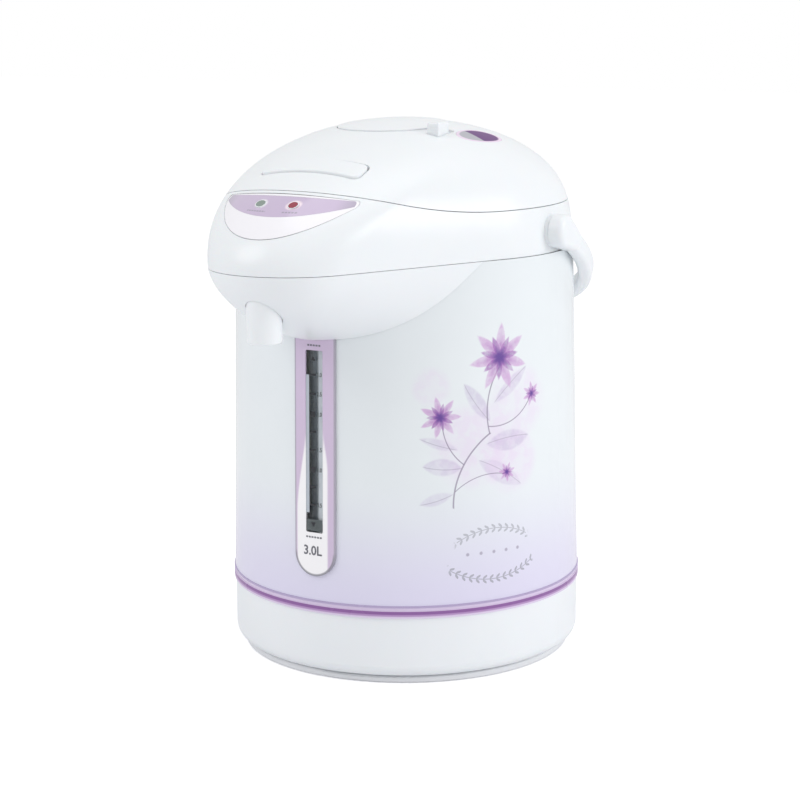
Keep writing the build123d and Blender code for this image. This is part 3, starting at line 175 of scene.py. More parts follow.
class Canvas:
    """Node sockets for drawing masks in millimetres on one material."""

    PRINT_RADIUS = 100.0  # millimetres that one radian round the pot counts for
    LEAF_SLANT = -0.8
    PAINT_CLOUDS = (0.35, 0.62)
    PETAL_NOTCH = 0.34  # share of its radius at which a whorl's petals part
    PETAL_POINT = 0.62
    INNER_WHORL = 0.66

    def __init__(self, tree: bpy.types.NodeTree, across: Socket, up: Socket) -> None:
        """Keep the tree and its two flat coordinates.

        Args:
            tree: Node tree of the material.
            across: Distance to the right over the surface, in millimetres.
            up: Height, in millimetres.
        """
        self.tree = tree
        self.across = across
        self.up = up

    @classmethod
    def flat(cls, tree: bpy.types.NodeTree, place: Socket, up_axis: int = 2) -> "Canvas":
        """Canvas that looks along one axis: X is across, and Z or Y is up.

        Args:
            tree: Node tree of the material.
            place: Object coordinates in metres.
            up_axis: Number of the axis that is up.

        Returns:
            The canvas.
        """
        parts = add_node(tree, "SeparateXYZ", None, {0: place}).outputs
        across = add_node(tree, *MULTIPLY, {0: parts[0], 1: 1 / MM})
        up = add_node(tree, *MULTIPLY, {0: parts[up_axis], 1: 1 / MM})
        return cls(tree, across.outputs[0], up.outputs[0])

    @classmethod
    def round_the_pot(cls, tree: bpy.types.NodeTree, place: Socket) -> "Canvas":
        """Canvas wrapped round the jacket: 1 mm across is 1/100 radian from the front.

        Args:
            tree: Node tree of the material.
            place: Object coordinates in metres.

        Returns:
            The canvas.
        """
        parts = add_node(tree, "SeparateXYZ", None, {0: place}).outputs
        ahead = add_node(tree, *MULTIPLY, {0: parts[1], 1: -1.0})
        angle = add_node(tree, *ARCTAN2, {0: parts[0], 1: ahead.outputs[0]})
        across = add_node(tree, *MULTIPLY, {0: angle.outputs[0], 1: cls.PRINT_RADIUS})
        up = add_node(tree, *MULTIPLY, {0: parts[2], 1: 1 / MM})
        return cls(tree, across.outputs[0], up.outputs[0])

    def put(self, node: tuple[str, dict], *values: Socket | float) -> Socket:
        """Add a node that is fed in the order of its inputs.

        Args:
            node: Node type and settings.
            values: Sockets or numbers that it works on.

        Returns:
            The node's first output.
        """
        return add_node(self.tree, *node, dict(enumerate(values))).outputs[0]

    def ramp(self, value: Socket, low: float, high: float, start: float = 0.0,
             end: float = 1.0) -> Socket:
        """Turn a value smoothly from start at low to end at high.

        Args:
            value: Socket to read.
            low: Value that gives start.
            high: Value that gives end.
            start: Result below low.
            end: Result above high.

        Returns:
            The result's socket.
        """
        node = add_node(self.tree, "MapRange", {"interpolation_type": "SMOOTHSTEP"}, {
            "Value": value, "From Min": low, "From Max": high, "To Min": start, "To Max": end})
        return node.outputs["Result"]

    def fade(self, value: Socket, low: float, high: float) -> Socket:
        """Mask that is full where a value is below low, and gone from high on."""
        return self.ramp(value, low, high, 1.0, 0.0)

    def both(self, *masks: Socket) -> Socket:
        """Mask of what every given mask covers.

        Args:
            masks: Masks that overlap.

        Returns:
            The mask's socket.
        """
        result = masks[0]
        for mask in masks[1:]:
            result = self.put(MULTIPLY, result, mask)
        return result

    def distance(self, x: float, z: float) -> Socket:
        """Distance in millimetres from a point of the canvas.

        Args:
            x: Place of the point across the canvas.
            z: Height of the point.

        Returns:
            The distance's socket.
        """
        dx = self.put(SUBTRACT, self.across, x)
        dz = self.put(SUBTRACT, self.up, z)
        squares = (self.put(MULTIPLY, dx, dx), self.put(MULTIPLY, dz, dz))
        return self.put(SQRT, self.put(ADD, *squares))

    def disc(self, x: float, z: float, radius: float, soft: float) -> Socket:
        """Mask of a round spot with a soft edge."""
        return self.fade(self.distance(x, z), radius - soft, radius)

    def leaf(self, start: Point, end: Point, width: float, soft: float) -> Socket:
        """Mask of a pointed leaf, where two round spots overlap.

        Args:
            start: Foot of the leaf.
            end: Tip of the leaf.
            width: Widest breadth in millimetres.
            soft: Width of the edge's fade.

        Returns:
            The mask's socket.
        """
        dx, dz = end[0] - start[0], end[1] - start[1]
        length = math.hypot(dx, dz)
        radius = (length ** 2 + width ** 2) / (4 * width)
        reach = (radius - width / 2) / length
        middle = ((start[0] + end[0]) / 2, (start[1] + end[1]) / 2)
        sides = [self.disc(middle[0] - side * dz * reach, middle[1] + side * dx * reach,
                           radius, soft) for side in (-1, 1)]
        return self.both(*sides)

    @staticmethod
    def circle_through(start: Point, end: Point, bow: float) -> tuple[Point, float]:
        """Circle through two points.

        Args:
            start: First point.
            end: Second point.
            bow: How far the arc's middle stands off the straight line, to the left.

        Returns:
            Centre and radius of the circle.
        """
        dx, dz = end[0] - start[0], end[1] - start[1]
        length = math.hypot(dx, dz)
        radius = (length ** 2 / 4 + bow ** 2) / (2 * abs(bow))
        away = math.copysign(radius - abs(bow), bow)
        centre = ((start[0] + end[0]) / 2 + away * dz / length,
                  (start[1] + end[1]) / 2 - away * dx / length)
        return centre, radius

    def stretch(self, start: Point, end: Point, soft: float) -> Socket:
        """Mask of the round area that spans from one point to another."""
        return self.disc((start[0] + end[0]) / 2, (start[1] + end[1]) / 2,
                         math.dist(start, end) / 2 + soft, soft)

    def stem(self, start: Point, end: Point, bow: float, width: float) -> Socket:
        """Mask of a thin line along part of a circle.

        Args:
            start: First end of the line.
            end: Second end of the line.
            bow: How far its middle stands off the straight line, to the left.
            width: Breadth of the line in millimetres.

        Returns:
            The mask's socket.
        """
        centre, radius = self.circle_through(start, end, bow)
        line = self.put(ABSOLUTE, self.put(SUBTRACT, self.distance(*centre), radius))
        stroke = self.fade(line, width * 0.3, width * 0.7)
        return self.both(stroke, self.stretch(start, end, width))

    def sprig(self, start: Point, end: Point, bow: float, reach: float,
              pitch: float) -> Socket:
        """Mask of slanting pairs of small leaves along part of a circle.

        Args:
            start: First end of the row.
            end: Second end of the row.
            bow: How far its middle stands off the straight line, to the left.
            reach: How far a leaf's tip stands off the arc.
            pitch: Distance from one pair to the next.

        Returns:
            The mask's socket.
        """
        centre, radius = self.circle_through(start, end, bow)
        off = self.put(ABSOLUTE, self.put(SUBTRACT, self.distance(*centre), radius))
        way = self.put(ARCTAN2, self.put(SUBTRACT, self.up, centre[1]),
                       self.put(SUBTRACT, self.across, centre[0]))
        along = self.put(MULTIPLY_ADD, off, self.LEAF_SLANT, self.put(MULTIPLY, way, radius))
        place = self.put(ABSOLUTE, self.put(WRAP, along, pitch / 2, -pitch / 2))
        share = self.put(DIVIDE, off, reach)
        breadth = self.put(MULTIPLY, self.put(MULTIPLY, share, pitch),
                           self.put(SUBTRACT, 1.0, share))
        leaf = self.fade(self.put(SUBTRACT, place, breadth), -0.25, 0.05)
        return self.both(leaf, self.stretch(start, end, reach))

    def water(self, mask: Socket, size: float, depth: float) -> Socket:
        """Let a mask run unevenly, like thin paint.

        Args:
            mask: Mask to change.
            size: Size of the paint's clouds in millimetres.
            depth: Share of the cover that the clouds take away.

        Returns:
            The new mask's socket.
        """
        place = add_node(self.tree, "CombineXYZ", None, {0: self.across, 1: self.up}).outputs[0]
        cloud = add_node(self.tree, "TexNoise", None, {
            "Vector": place, "Scale": 1 / size, "Detail": 4.0, "Roughness": 0.6})
        cover = self.ramp(cloud.outputs[0], *self.PAINT_CLOUDS, 1.0 - depth, 1.0)
        return self.put(MULTIPLY, mask, cover)

    def over(self, below: Socket, ink: str | Socket, mask: Socket,
             strength: float = 1.0) -> Socket:
        """Lay an ink over what is below it.

        Args:
            below: Colour so far.
            ink: Hex colour or a colour's socket.
            mask: Where the ink lies.
            strength: Largest cover of the ink.

        Returns:
            The new colour's socket.
        """
        colour = linear(ink) if isinstance(ink, str) else ink
        cover = mask if strength == 1.0 else self.put(MULTIPLY, mask, strength)
        node = add_node(self.tree, "Mix", {"data_type": "RGBA"}, {0: cover, 6: below, 7: colour})
        return node.outputs[2]

    def blossom(self, below: Socket, x: float, z: float, radius: float, turn: float,
                petals: int = 7) -> Socket:
        """Draw one open blossom that looks straight out: a pale and a deep whorl of petals.

        Args:
            below: Colour so far.
            x: Place of its heart across the canvas.
            z: Height of its heart.
            radius: Reach of its petals.
            turn: Turn of the first petal, in radians.
            petals: Number of petals in a whorl.

        Returns:
            The new colour's socket.
        """
        dx = self.put(SUBTRACT, self.across, x)
        dz = self.put(SUBTRACT, self.up, z)
        way = self.put(ARCTAN2, dz, dx)
        far = self.distance(x, z)
        colour = below
        for size, lag, outer, inner in (
                (1.0, 0.0, Inks.PETAL, Inks.MAGENTA),
                (self.INNER_WHORL, math.pi / petals, Inks.MAGENTA, Inks.VIOLET)):
            beat = self.put(MULTIPLY, self.put(ADD, way, turn + lag), petals / 2)
            lobe = self.put(SUBTRACT, 1.0, self.put(ABSOLUTE, self.put(SINE, beat)))
            edge = self.put(MULTIPLY_ADD, self.put(POWER, lobe, self.PETAL_POINT),
                            radius * size * (1 - self.PETAL_NOTCH),
                            radius * size * self.PETAL_NOTCH)
            share = self.put(DIVIDE, far, edge)
            body = self.fade(share, 0.86, 1.02)
            colour = self.over(colour, outer, self.water(body, 5.0, 0.45), 0.8)
            deep = self.both(body, self.fade(share, 0.1, 0.95))
            colour = self.over(colour, inner, self.water(deep, 3.5, 0.4), 0.8)
        heart = self.fade(far, radius * 0.04, radius * 0.3)
        return self.over(colour, Inks.VIOLET, heart, 0.9)


# ---- finishes ---------------------------------------------------------------------------------


COAT_ROUGHNESS = 0.06
BUMP_STRENGTH = 0.35
SCATTER_DEPTH = 0.002  # metres
CLOUD_LOW, CLOUD_HIGH = 0.3, 0.7  # values that bound most of the noise


@dataclass(frozen=True)
class Finish:
    """A finish: a tone with slight clouding, sheen changes and a fine surface grain."""

    name: str
    tone: str
    deep_tone: str
    roughness: float
    metallic: float = 0.0
    ior: float = 1.5
    cloud_mm: float = 45.0
    grain_mm: float = 1.2
    grain_depth: float = 0.02
    sheen_spread: float = 0.05
    coat: float = 0.0
    transmission: float = 0.0
    subsurface: float = 0.0
    glow: float = 0.0
    cover: float = 1.0
    stretch: tuple[float, float, float] = (1.0, 1.0, 1.0)

    def paint(self, tree: bpy.types.NodeTree, place: Socket, ground: Socket) -> Socket:
        """Colour of the surface; a printed finish draws on the ground here.

        Args:
            tree: Node tree of the material.
            place: Object coordinates in metres.
            ground: Clouded ground colour.

        Returns:
            The colour's socket.
        """
        return ground

    def material(self) -> bpy.types.Material:
        """Build the node material, once for each finish.

        Returns:
            The finished material.
        """
        known = bpy.data.materials.get(self.name)
        if known:
            return known
        material = bpy.data.materials.new(self.name)
        material.use_nodes = True
        tree = material.node_tree
        tree.nodes.clear()
        place = add_node(tree, "TexCoord").outputs["Object"]
        laid = add_node(tree, "Mapping", None, {"Vector": place, "Scale": self.stretch})
        cloud = add_node(tree, "TexNoise", None, {
            "Vector": laid.outputs[0], "Scale": 1 / (self.cloud_mm * MM), "Detail": 3.0})
        ground = add_node(tree, "Mix", {"data_type": "RGBA"}, {
            0: cloud.outputs[0], 6: linear(self.tone), 7: linear(self.deep_tone)})
        colour = self.paint(tree, place, ground.outputs[2])
        grain = add_node(tree, "TexNoise", None, {
            "Vector": laid.outputs[0], "Scale": 1 / (self.grain_mm * MM), "Detail": 2.0})
        sheen = add_node(tree, "MapRange", None, {
            "Value": cloud.outputs[0], "From Min": CLOUD_LOW, "From Max": CLOUD_HIGH,
            "To Min": self.roughness - self.sheen_spread / 2,
            "To Max": self.roughness + self.sheen_spread / 2})
        bump = add_node(tree, "Bump", None, {
            "Strength": BUMP_STRENGTH, "Distance": self.grain_depth * MM,
            "Height": grain.outputs[0]})
        sockets = {
            "Base Color": colour, "Roughness": sheen.outputs[0], "Metallic": self.metallic,
            "IOR": self.ior, "Coat Weight": self.coat, "Coat Roughness": COAT_ROUGHNESS,
            "Transmission Weight": self.transmission, "Normal": bump.outputs[0],
            "Subsurface Weight": self.subsurface, "Subsurface Scale": SCATTER_DEPTH,
            "Alpha": self.cover, "Emission Strength": self.glow}
        if self.glow:
            sockets["Emission Color"] = linear(self.tone)
        shader = add_node(tree, "BsdfPrincipled", None, sockets)
        add_node(tree, "OutputMaterial", None, {"Surface": shader.outputs[0]})
        return material


@dataclass(frozen=True)
class PrintedJacket(Finish):
    """Enamelled sheet steel: white, fading to lilac at its foot, with a spray of blossoms.

    Its tables are in millimetres: across from the middle of the front, and up from the table.
    """

    lilac_fade: Point = (44.0, 122.0)
    # Watercolour clouds: size, depth.
    wash_clouds: Point = (9.0, 0.6)
    leaf_clouds: Point = (6.0, 0.5)
    # Watercolour grounds: across, up, radius, strength.
    washes: tuple[tuple[float, float, float, float], ...] = (
        (90, 136, 28, 0.6), (114, 126, 22, 0.7), (120, 158, 24, 0.5), (66, 170, 13, 0.4))
    wash_softness: float = 0.45
    # Leaves: foot, tip, width, strength.
    leaves: tuple[tuple[Point, Point, float, float], ...] = (
        ((101, 148), (84, 172), 10, 0.5), ((102, 158), (127, 178), 9, 0.45),
        ((97, 136), (128, 138), 13, 0.5), ((84, 124), (60, 126), 11, 0.45),
        ((92, 128), (122, 110), 12, 0.35), ((82, 134), (58, 142), 7, 0.4),
        ((79, 110), (58, 104), 8, 0.35))
    leaf_softness: float = 1.6
    vein_width: float = 0.5
    vein_bow: float = 0.12
    vein_strength: float = 0.35
    # Twigs: foot, end, bow to the left, width.
    twigs: tuple[tuple[Point, Point, float, float], ...] = (
        ((78, 102), (100, 142), 6, 0.9), ((100, 142), (106, 178), 4, 0.8),
        ((84, 126), (72, 150), 3, 0.6), ((99.5, 146), (129, 160), -5, 0.6),
        ((79.3, 111), (110, 118), 4, 0.5))
    twig_strength: float = 0.75
    # Blossoms: across, up, radius, turn.
    blossoms: tuple[tuple[float, float, float, float], ...] = (
        (107, 184, 20, 0.3), (71, 153, 12.5, 0.9), (130, 161, 7.5, 0.1), (111, 119, 6, 0.6))
    # Sprigs of the garland: start, end, bow to the left, strength.
    sprigs: tuple[tuple[Point, Point, float, float], ...] = (
        ((76, 66), (128, 66), -7, 0.6), ((80, 82), (124, 82), 6, 0.5))
    sprig_line: float = 0.5
    sprig_reach: float = 2.6
    sprig_pitch: float = 4.2
    # The garland's dots.
    dots: tuple[float, ...] = (86, 94, 102, 110, 118)
    dot_height: float = 74.5
    dot_radius: float = 1.3
    dot_softness: float = 0.7
    dot_strength: float = 0.6

    def paint(self, tree: bpy.types.NodeTree, place: Socket, ground: Socket) -> Socket:
        """Draw the fade, the branch with its blossoms and the small garland below it.

        Args:
            tree: Node tree of the material.
            place: Object coordinates in metres.
            ground: Clouded ground colour.

        Returns:
            The colour's socket.
        """
        canvas = Canvas.round_the_pot(tree, place)
        colour = canvas.over(ground, Inks.LILAC, canvas.fade(canvas.up, *self.lilac_fade))
        for x, z, radius, strength in self.washes:
            wash = canvas.disc(x, z, radius, radius * self.wash_softness)
            wash = canvas.water(wash, *self.wash_clouds)
            colour = canvas.over(colour, Inks.WASH, wash, strength)
        for start, end, width, strength in self.leaves:
            leaf = canvas.leaf(start, end, width, self.leaf_softness)
            wet = canvas.water(leaf, *self.leaf_clouds)
            colour = canvas.over(colour, Inks.LEAF, wet, strength)
            vein = canvas.stem(start, end, width * self.vein_bow, self.vein_width)
            colour = canvas.over(colour, Inks.STEM, canvas.both(leaf, vein), self.vein_strength)
        for start, end, bow, width in self.twigs:
            twig = canvas.stem(start, end, bow, width)
            colour = canvas.over(colour, Inks.STEM, twig, self.twig_strength)
        for x, z, radius, turn in self.blossoms:
            colour = canvas.blossom(colour, x, z, radius, turn)
        for start, end, bow, strength in self.sprigs:
            for mark in (canvas.stem(start, end, bow, self.sprig_line),
                         canvas.sprig(start, end, bow, self.sprig_reach, self.sprig_pitch)):
                colour = canvas.over(colour, Inks.GREY, mark, strength)
        for x in self.dots:
            dot = canvas.disc(x, self.dot_height, self.dot_radius, self.dot_softness)
            colour = canvas.over(colour, Inks.STEM, dot, self.dot_strength)
        return colour


@dataclass(frozen=True)
class TintedBand(Finish):
    """Moulded ring in the jacket's lilac, with the purple line printed round its lower half."""

    # Lines: ink, then the heights where each starts, is full, starts to go and is gone.
    lines: tuple[tuple[Inks, float, float, float, float], ...] = (
        (Inks.LINE_EDGE, 40.4, 41.2, 43.6, 44.0), (Inks.LINE, 41.6, 42.2, 43.5, 43.9))
    shade: Point = (45.5, 45.9)

    def paint(self, tree: bpy.types.NodeTree, place: Socket, ground: Socket) -> Socket:
        """Lay the colours over one another by height.

        Args:
            tree: Node tree of the material.
            place: Object coordinates in metres.
            ground: Clouded ground colour.

        Returns:
            The colour's socket.
        """
        canvas = Canvas.round_the_pot(tree, place)
        colour = ground
        for ink, start, full, going, gone in self.lines:
            line = canvas.both(canvas.ramp(canvas.up, start, full),
                               canvas.fade(canvas.up, going, gone))
            colour = canvas.over(colour, ink, line)
        return canvas.over(colour, Inks.BAND_SHADE, canvas.ramp(canvas.up, *self.shade))


@dataclass(frozen=True)
class BackPrint(Finish):
    """Clear acrylic printed on its back: lilac above, white round the lower window, grey rim."""

    # The white field's two sides: way out, half width at the foot, height where it narrows.
    sides: tuple[tuple[float, float, float], ...] = ((-1.0, 11.6, 96.0), (1.0, 8.6, 120.0))
    field_edge: Point = (-0.8, 0.6)
    field_fade: Point = (128.0, 152.0)
    waist: float = 5.4
    waist_height: float = 150.0
    rim_centre: float = 74.0
    rim_fade: Point = (72.0, 76.0)
    rim_radii: Point = (11.3, 12.3)
    rim_strength: float = 0.9
    side_rim: Point = (11.9, 12.6)
    side_strength: float = 0.8

    def paint(self, tree: bpy.types.NodeTree, place: Socket, ground: Socket) -> Socket:
        """Draw the white field that widens downwards, and the rim.

        Args:
            tree: Node tree of the material.
            place: Object coordinates in metres.
            ground: Clouded ground colour.

        Returns:
            The colour's socket.
        """
        canvas = Canvas.flat(tree, place)
        white = canvas.fade(canvas.up, *self.field_fade)
        for way, foot, start in self.sides:
            edge = canvas.ramp(canvas.up, start, self.waist_height, foot, self.waist)
            past = canvas.put(SUBTRACT, canvas.put(MULTIPLY, canvas.across, way), edge)
            white = canvas.both(white, canvas.fade(past, *self.field_edge))
        colour = canvas.over(ground, Inks.FIELD, white)
        rim = canvas.both(canvas.fade(canvas.up, *self.rim_fade),
                          canvas.ramp(canvas.distance(0.0, self.rim_centre), *self.rim_radii))
        colour = canvas.over(colour, Inks.FOOT_RIM, rim, self.rim_strength)
        side = canvas.ramp(canvas.put(ABSOLUTE, canvas.across), *self.side_rim)
        return canvas.over(colour, Inks.RIM, side, self.side_strength)


@dataclass(frozen=True)
class ScaleCard(Finish):
    """Printed card beside the tube: a slate band, then a lighter column for the numbers."""

    # Layers: ink, where its edge starts and ends across the card, strength.
    layers: tuple[tuple[Inks, float, float, float], ...] = (
        (Inks.COLUMN, 0.8, 1.4, 0.95), (Inks.CARD_BORDER, 4.4, 5.2, 0.8))

    def paint(self, tree: bpy.types.NodeTree, place: Socket, ground: Socket) -> Socket:
        """Split the card into its band and its column.

        Args:
            tree: Node tree of the material.
            place: Object coordinates in metres.
            ground: Clouded ground colour.

        Returns:
            The colour's socket.
        """
        canvas = Canvas.flat(tree, place)
        colour = ground
        for ink, start, end, strength in self.layers:
            colour = canvas.over(colour, ink, canvas.ramp(canvas.across, start, end), strength)
        return colour


@dataclass(frozen=True)
class TintedLens(Finish):
    """Lilac back-printed window over the lamps, with greyer ends."""

    lamp_height: float = 272.5
    ends: Point = (30.0, 40.0)
    end_strength: float = 0.6
    # Grounds round the lamps: ink, across, radius, softness, strength. The pinker ground round the
    # lit keep-warm lamp is the printed ground with painted light of the lamp.
    grounds: tuple[tuple[Inks, float, float, float, float], ...] = (
        (Inks.GROUND_WITH_PAINTED_GLOW, 10.2, 5.0, 1.6, 0.9), (Inks.UNLIT_GROUND, -10.2, 4.6, 1.2, 0.85))
    # Rows of dashes under the lamps: middle and half length.
    captions: tuple[Point, ...] = ((-10.2, 6.5), (10.9, 4.6))
    caption_drop: float = 6.6
    caption_strength: float = 0.6
    caption_edge: float = 0.4
    dash_pitch: float = 1.8
    dash_height: Point = (0.4, 0.8)
    dash_length: Point = (0.5, 0.8)

    def paint(self, tree: bpy.types.NodeTree, place: Socket, ground: Socket) -> Socket:
        """Shade the ends, and lay the grounds round the lamps; the one round the lit lamp holds
        painted lamp light.

        Args:
            tree: Node tree of the material.
            place: Object coordinates in metres.
            ground: Clouded ground colour.

        Returns:
            The colour's socket.
        """
        flat = Canvas.flat(tree, place)
        # The panel slopes at 30 degrees, so a height counts twice along its slope.
        slope = flat.put(MULTIPLY, flat.put(SUBTRACT, flat.up, self.lamp_height), 2.0)
        canvas = Canvas(tree, flat.across, slope)
        ends = canvas.ramp(canvas.put(ABSOLUTE, canvas.across), *self.ends)
        colour = canvas.over(ground, Inks.LENS_END, ends, self.end_strength)
        for ink, x, radius, soft, strength in self.grounds:
            colour = canvas.over(colour, ink, canvas.disc(x, 0.0, radius, soft), strength)
        below = canvas.put(ADD, canvas.up, self.caption_drop)
        row = canvas.fade(canvas.put(ABSOLUTE, below), *self.dash_height)
        step = canvas.put(WRAP, canvas.across, self.dash_pitch / 2, -self.dash_pitch / 2)
        dashes = canvas.fade(canvas.put(ABSOLUTE, step), *self.dash_length)
        for middle, half in self.captions:
            reach = canvas.put(ABSOLUTE, canvas.put(SUBTRACT, canvas.across, middle))
            caption = canvas.fade(reach, half - self.caption_edge, half)
            mark = canvas.both(row, dashes, caption)
            colour = canvas.over(colour, Inks.GREY, mark, self.caption_strength)
        return colour


@dataclass(frozen=True)
class LockMark(Finish):
    """Printed oval label: grey where the pad is free, plum where it is locked, a pale border."""

    centre: tuple[float, float, float] = (0.0522, -0.0055, 0.0)
    turn: float = 76.0
    split: Point = (-4.4, -3.4)
    half_length: float = 16.5
    half_width: float = 9.0
    border: Point = (0.66, 0.82)

    def paint(self, tree: bpy.types.NodeTree, place: Socket, ground: Socket) -> Socket:
        """Split the oval across its long axis and border it.

        Args:
            tree: Node tree of the material.
            place: Object coordinates in metres.
            ground: Clouded ground colour.

        Returns:
            The colour's socket.
        """
        turned = add_node(tree, "Mapping", {"vector_type": "TEXTURE"}, {
            "Vector": place, "Location": self.centre,
            "Rotation": (0.0, 0.0, math.radians(self.turn))})
        canvas = Canvas.flat(tree, turned.outputs[0], up_axis=1)
        colour = canvas.over(ground, Inks.FREE, canvas.fade(canvas.across, *self.split))
        squares = []
        for way, half in ((canvas.across, self.half_length), (canvas.up, self.half_width)):
            share = canvas.put(DIVIDE, way, half)
            squares.append(canvas.put(MULTIPLY, share, share))
        reach = canvas.put(ADD, *squares)
        return canvas.over(colour, Inks.LABEL_BORDER, canvas.ramp(reach, *self.border))


WHITE_POLYPROPYLENE = Finish(
    # Gloss injection moulded polypropylene: a clean cool white with soft wide highlights.
    "polypropylene_gloss_moulded", "#f1f4f7", "#ecf0f3", 0.3, ior=1.49, grain_mm=1.6,
    grain_depth=0.012, subsurface=0.04)
SATIN_POLYPROPYLENE = Finish(
    # The same resin from a spark-eroded mould: finely grained and duller.
    "polypropylene_satin_moulded", "#edeef1", "#e6e8ec", 0.46, ior=1.49, grain_mm=0.7,
    grain_depth=0.03)
PANEL_PLATE = Finish(
    # Moulded plate with a pearl lacquer: white with a breath of pink.
    "polypropylene_pearl_lacquered", "#f9f8fc", "#f5f3f9", 0.24, ior=1.5, coat=0.3, grain_mm=1.4,
    grain_depth=0.008)
ENAMELLED_STEEL = PrintedJacket(
    # Stoved enamel on sheet steel, transfer printed: glassy, with the faintest orange peel.
    "enamelled_steel_transfer_printed", "#ecf1f4", "#e6ecef", 0.22, ior=1.52, coat=0.3,
    grain_mm=2.2, grain_depth=0.01)
TINTED_POLYPROPYLENE = TintedBand(
    # Moulded ring with a pad-printed line: even colour, gloss on its edges.
    "polypropylene_band_pad_printed", "#e2d4ec", "#dccde7", 0.26, ior=1.49, grain_mm=1.5,
    grain_depth=0.01)
BACK_PRINTED_ACRYLIC = BackPrint(
    # Screen print seen through polished acrylic: deep, flat colour under a hard gloss.
    "acrylic_back_printed", "#d6c4de", "#cfbdd8", 0.12, ior=1.49, coat=0.5, grain_mm=3.0,
    grain_depth=0.004)
LENS_ACRYLIC = TintedLens(
    # The panel's window, printed on its back in lilac: glassy over a milky tint.
    "acrylic_lens_back_printed", "#cdbdd7", "#c6b5d2", 0.1, ior=1.49, coat=0.5, grain_mm=3.0,
    grain_depth=0.004)
CLEAR_ACRYLIC = Finish(
    # Clear moulded acrylic: all but invisible, with hard small highlights.
    "acrylic_clear_moulded", "#f7f9fa", "#eef3f5", 0.04, ior=1.49, transmission=1.0, grain_mm=6.0,
    grain_depth=0.002, sheen_spread=0.02, cover=0.35)
TUBE_GLASS = Finish(
    # Drawn borosilicate tube: bright bent lines at its walls, faintly green.
    "borosilicate_glass_drawn", "#dfe6e8", "#d6dfe1", 0.03, ior=1.47, transmission=1.0,
    grain_mm=30.0, grain_depth=0.0005, sheen_spread=0.02, cover=0.3)
SCALE_CARD = ScaleCard(
    # Printed polystyrene card: matt ink in two greys.
    "polystyrene_card_printed", "#5b6168", "#535960", 0.5, grain_mm=0.5, grain_depth=0.01)
CAVITY_SHADE_CARD = Finish(
    # Dark card behind the tube: matt slate, painted shade for the cavity seen through the window,
    # made to glow a little as painted light.
    "card_painted_cavity_shade", "#727c87", "#6a747f", 0.6, grain_mm=0.5, grain_depth=0.01, glow=0.35)
TUBE_HIGHLIGHT_PAINT = Finish(
    # Painted highlight of the glass tube, laid on the window as a flat light grey strip.
    "painted_tube_highlight", "#bcc4cd", "#b3bbc4", 0.42, grain_mm=0.5, grain_depth=0.01)
BLACK_INK = Finish(
    # Screen ink: flat, near black, a little raised.
    "screen_ink_black", "#1f2026", "#292a31", 0.42, cloud_mm=4.0, grain_mm=0.3, grain_depth=0.01)
GREY_INK = Finish(
    # The same ink let down to grey.
    "screen_ink_grey", "#6f7078", "#64656e", 0.42, cloud_mm=4.0, grain_mm=0.3, grain_depth=0.01)
SLATE_INK = Finish(
    # Dark grey screen ink with a green cast.
    "screen_ink_slate", "#5c6466", "#525a5c", 0.42, cloud_mm=3.0, grain_mm=0.3, grain_depth=0.01)
STAINLESS_STEEL = Finish(
    # Deep-drawn and polished by turning: long soft streaks round the pot.
    "stainless_steel_spun_polished", "#c9cacc", "#bfc1c4", 0.22, metallic=1.0, cloud_mm=30.0,
    grain_mm=0.9, grain_depth=0.01, sheen_spread=0.12, stretch=(0.35, 0.35, 6.0))
ZINC_PLATED_STEEL = Finish(
    # Zinc plated and blue passivated: a cool, slightly mottled grey shine.
    "steel_zinc_plated", "#b4b7bb", "#a7acb2", 0.34, metallic=1.0, cloud_mm=6.0, grain_mm=0.6,
    grain_depth=0.01, sheen_spread=0.14)
MACHINED_BRASS = Finish(
    # Turned brass contact pins: warm, fine rings of tool marks.
    "brass_turned", "#d2b062", "#c4a152", 0.26, metallic=1.0, cloud_mm=3.0, grain_mm=0.25,
    grain_depth=0.01, sheen_spread=0.1, stretch=(1.0, 5.0, 1.0))
MILKY_SILICONE = Finish(
    # Press-cured silicone rubber: milky white, dull and faintly see-through.
    "silicone_rubber_moulded", "#e9e9e5", "#dfdfda", 0.5, ior=1.41, subsurface=0.15, grain_mm=0.8,
    grain_depth=0.02, sheen_spread=0.1)
FOOT_RUBBER = Finish(
    # Vulcanised foot ring: dark, matt and grippy.
    "rubber_vulcanised", "#45464a", "#3b3c40", 0.75, grain_mm=0.5, grain_depth=0.05,
    sheen_spread=0.1)
BLACK_POLYESTER = Finish(
    # Glass-filled polyester inlet: near black with a dry, fine texture.
    "polyester_glass_filled_moulded", "#26272b", "#1f2024", 0.55, grain_mm=0.4, grain_depth=0.04,
    sheen_spread=0.1)
PRESSED_ALUMINIUM = Finish(
    # Pressed and brushed aluminium sheet: grey, softly streaked.
    "aluminium_pressed", "#b9babd", "#acadb1", 0.38, metallic=1.0, cloud_mm=12.0, grain_mm=0.5,
    grain_depth=0.02, sheen_spread=0.14, stretch=(1.0, 1.0, 5.0))
GLASS_LAMINATE = Finish(
    # Woven glass laminate with green solder resist: satin, a faint weave in the gloss.
    "laminate_glass_epoxy", "#2f6b4a", "#275c3f", 0.32, coat=0.3, cloud_mm=2.0, grain_mm=0.4,
    grain_depth=0.02)
NEEDLED_FELT = Finish(
    # Needled mineral felt: matt, lumpy and cream grey.
    "mineral_felt_needled", "#cdc9bd", "#bdb9ac", 0.9, cloud_mm=6.0, grain_mm=0.9,
    grain_depth=0.35, sheen_spread=0.08)
GREEN_LAMP = Finish(
    # Unlit tinted acrylic lamp: grey-green, deep and glossy.
    "acrylic_lamp_green", "#8b9a92", "#7a8a82", 0.14, ior=1.49, coat=0.4, cloud_mm=2.0,
    grain_mm=1.0, grain_depth=0.004)
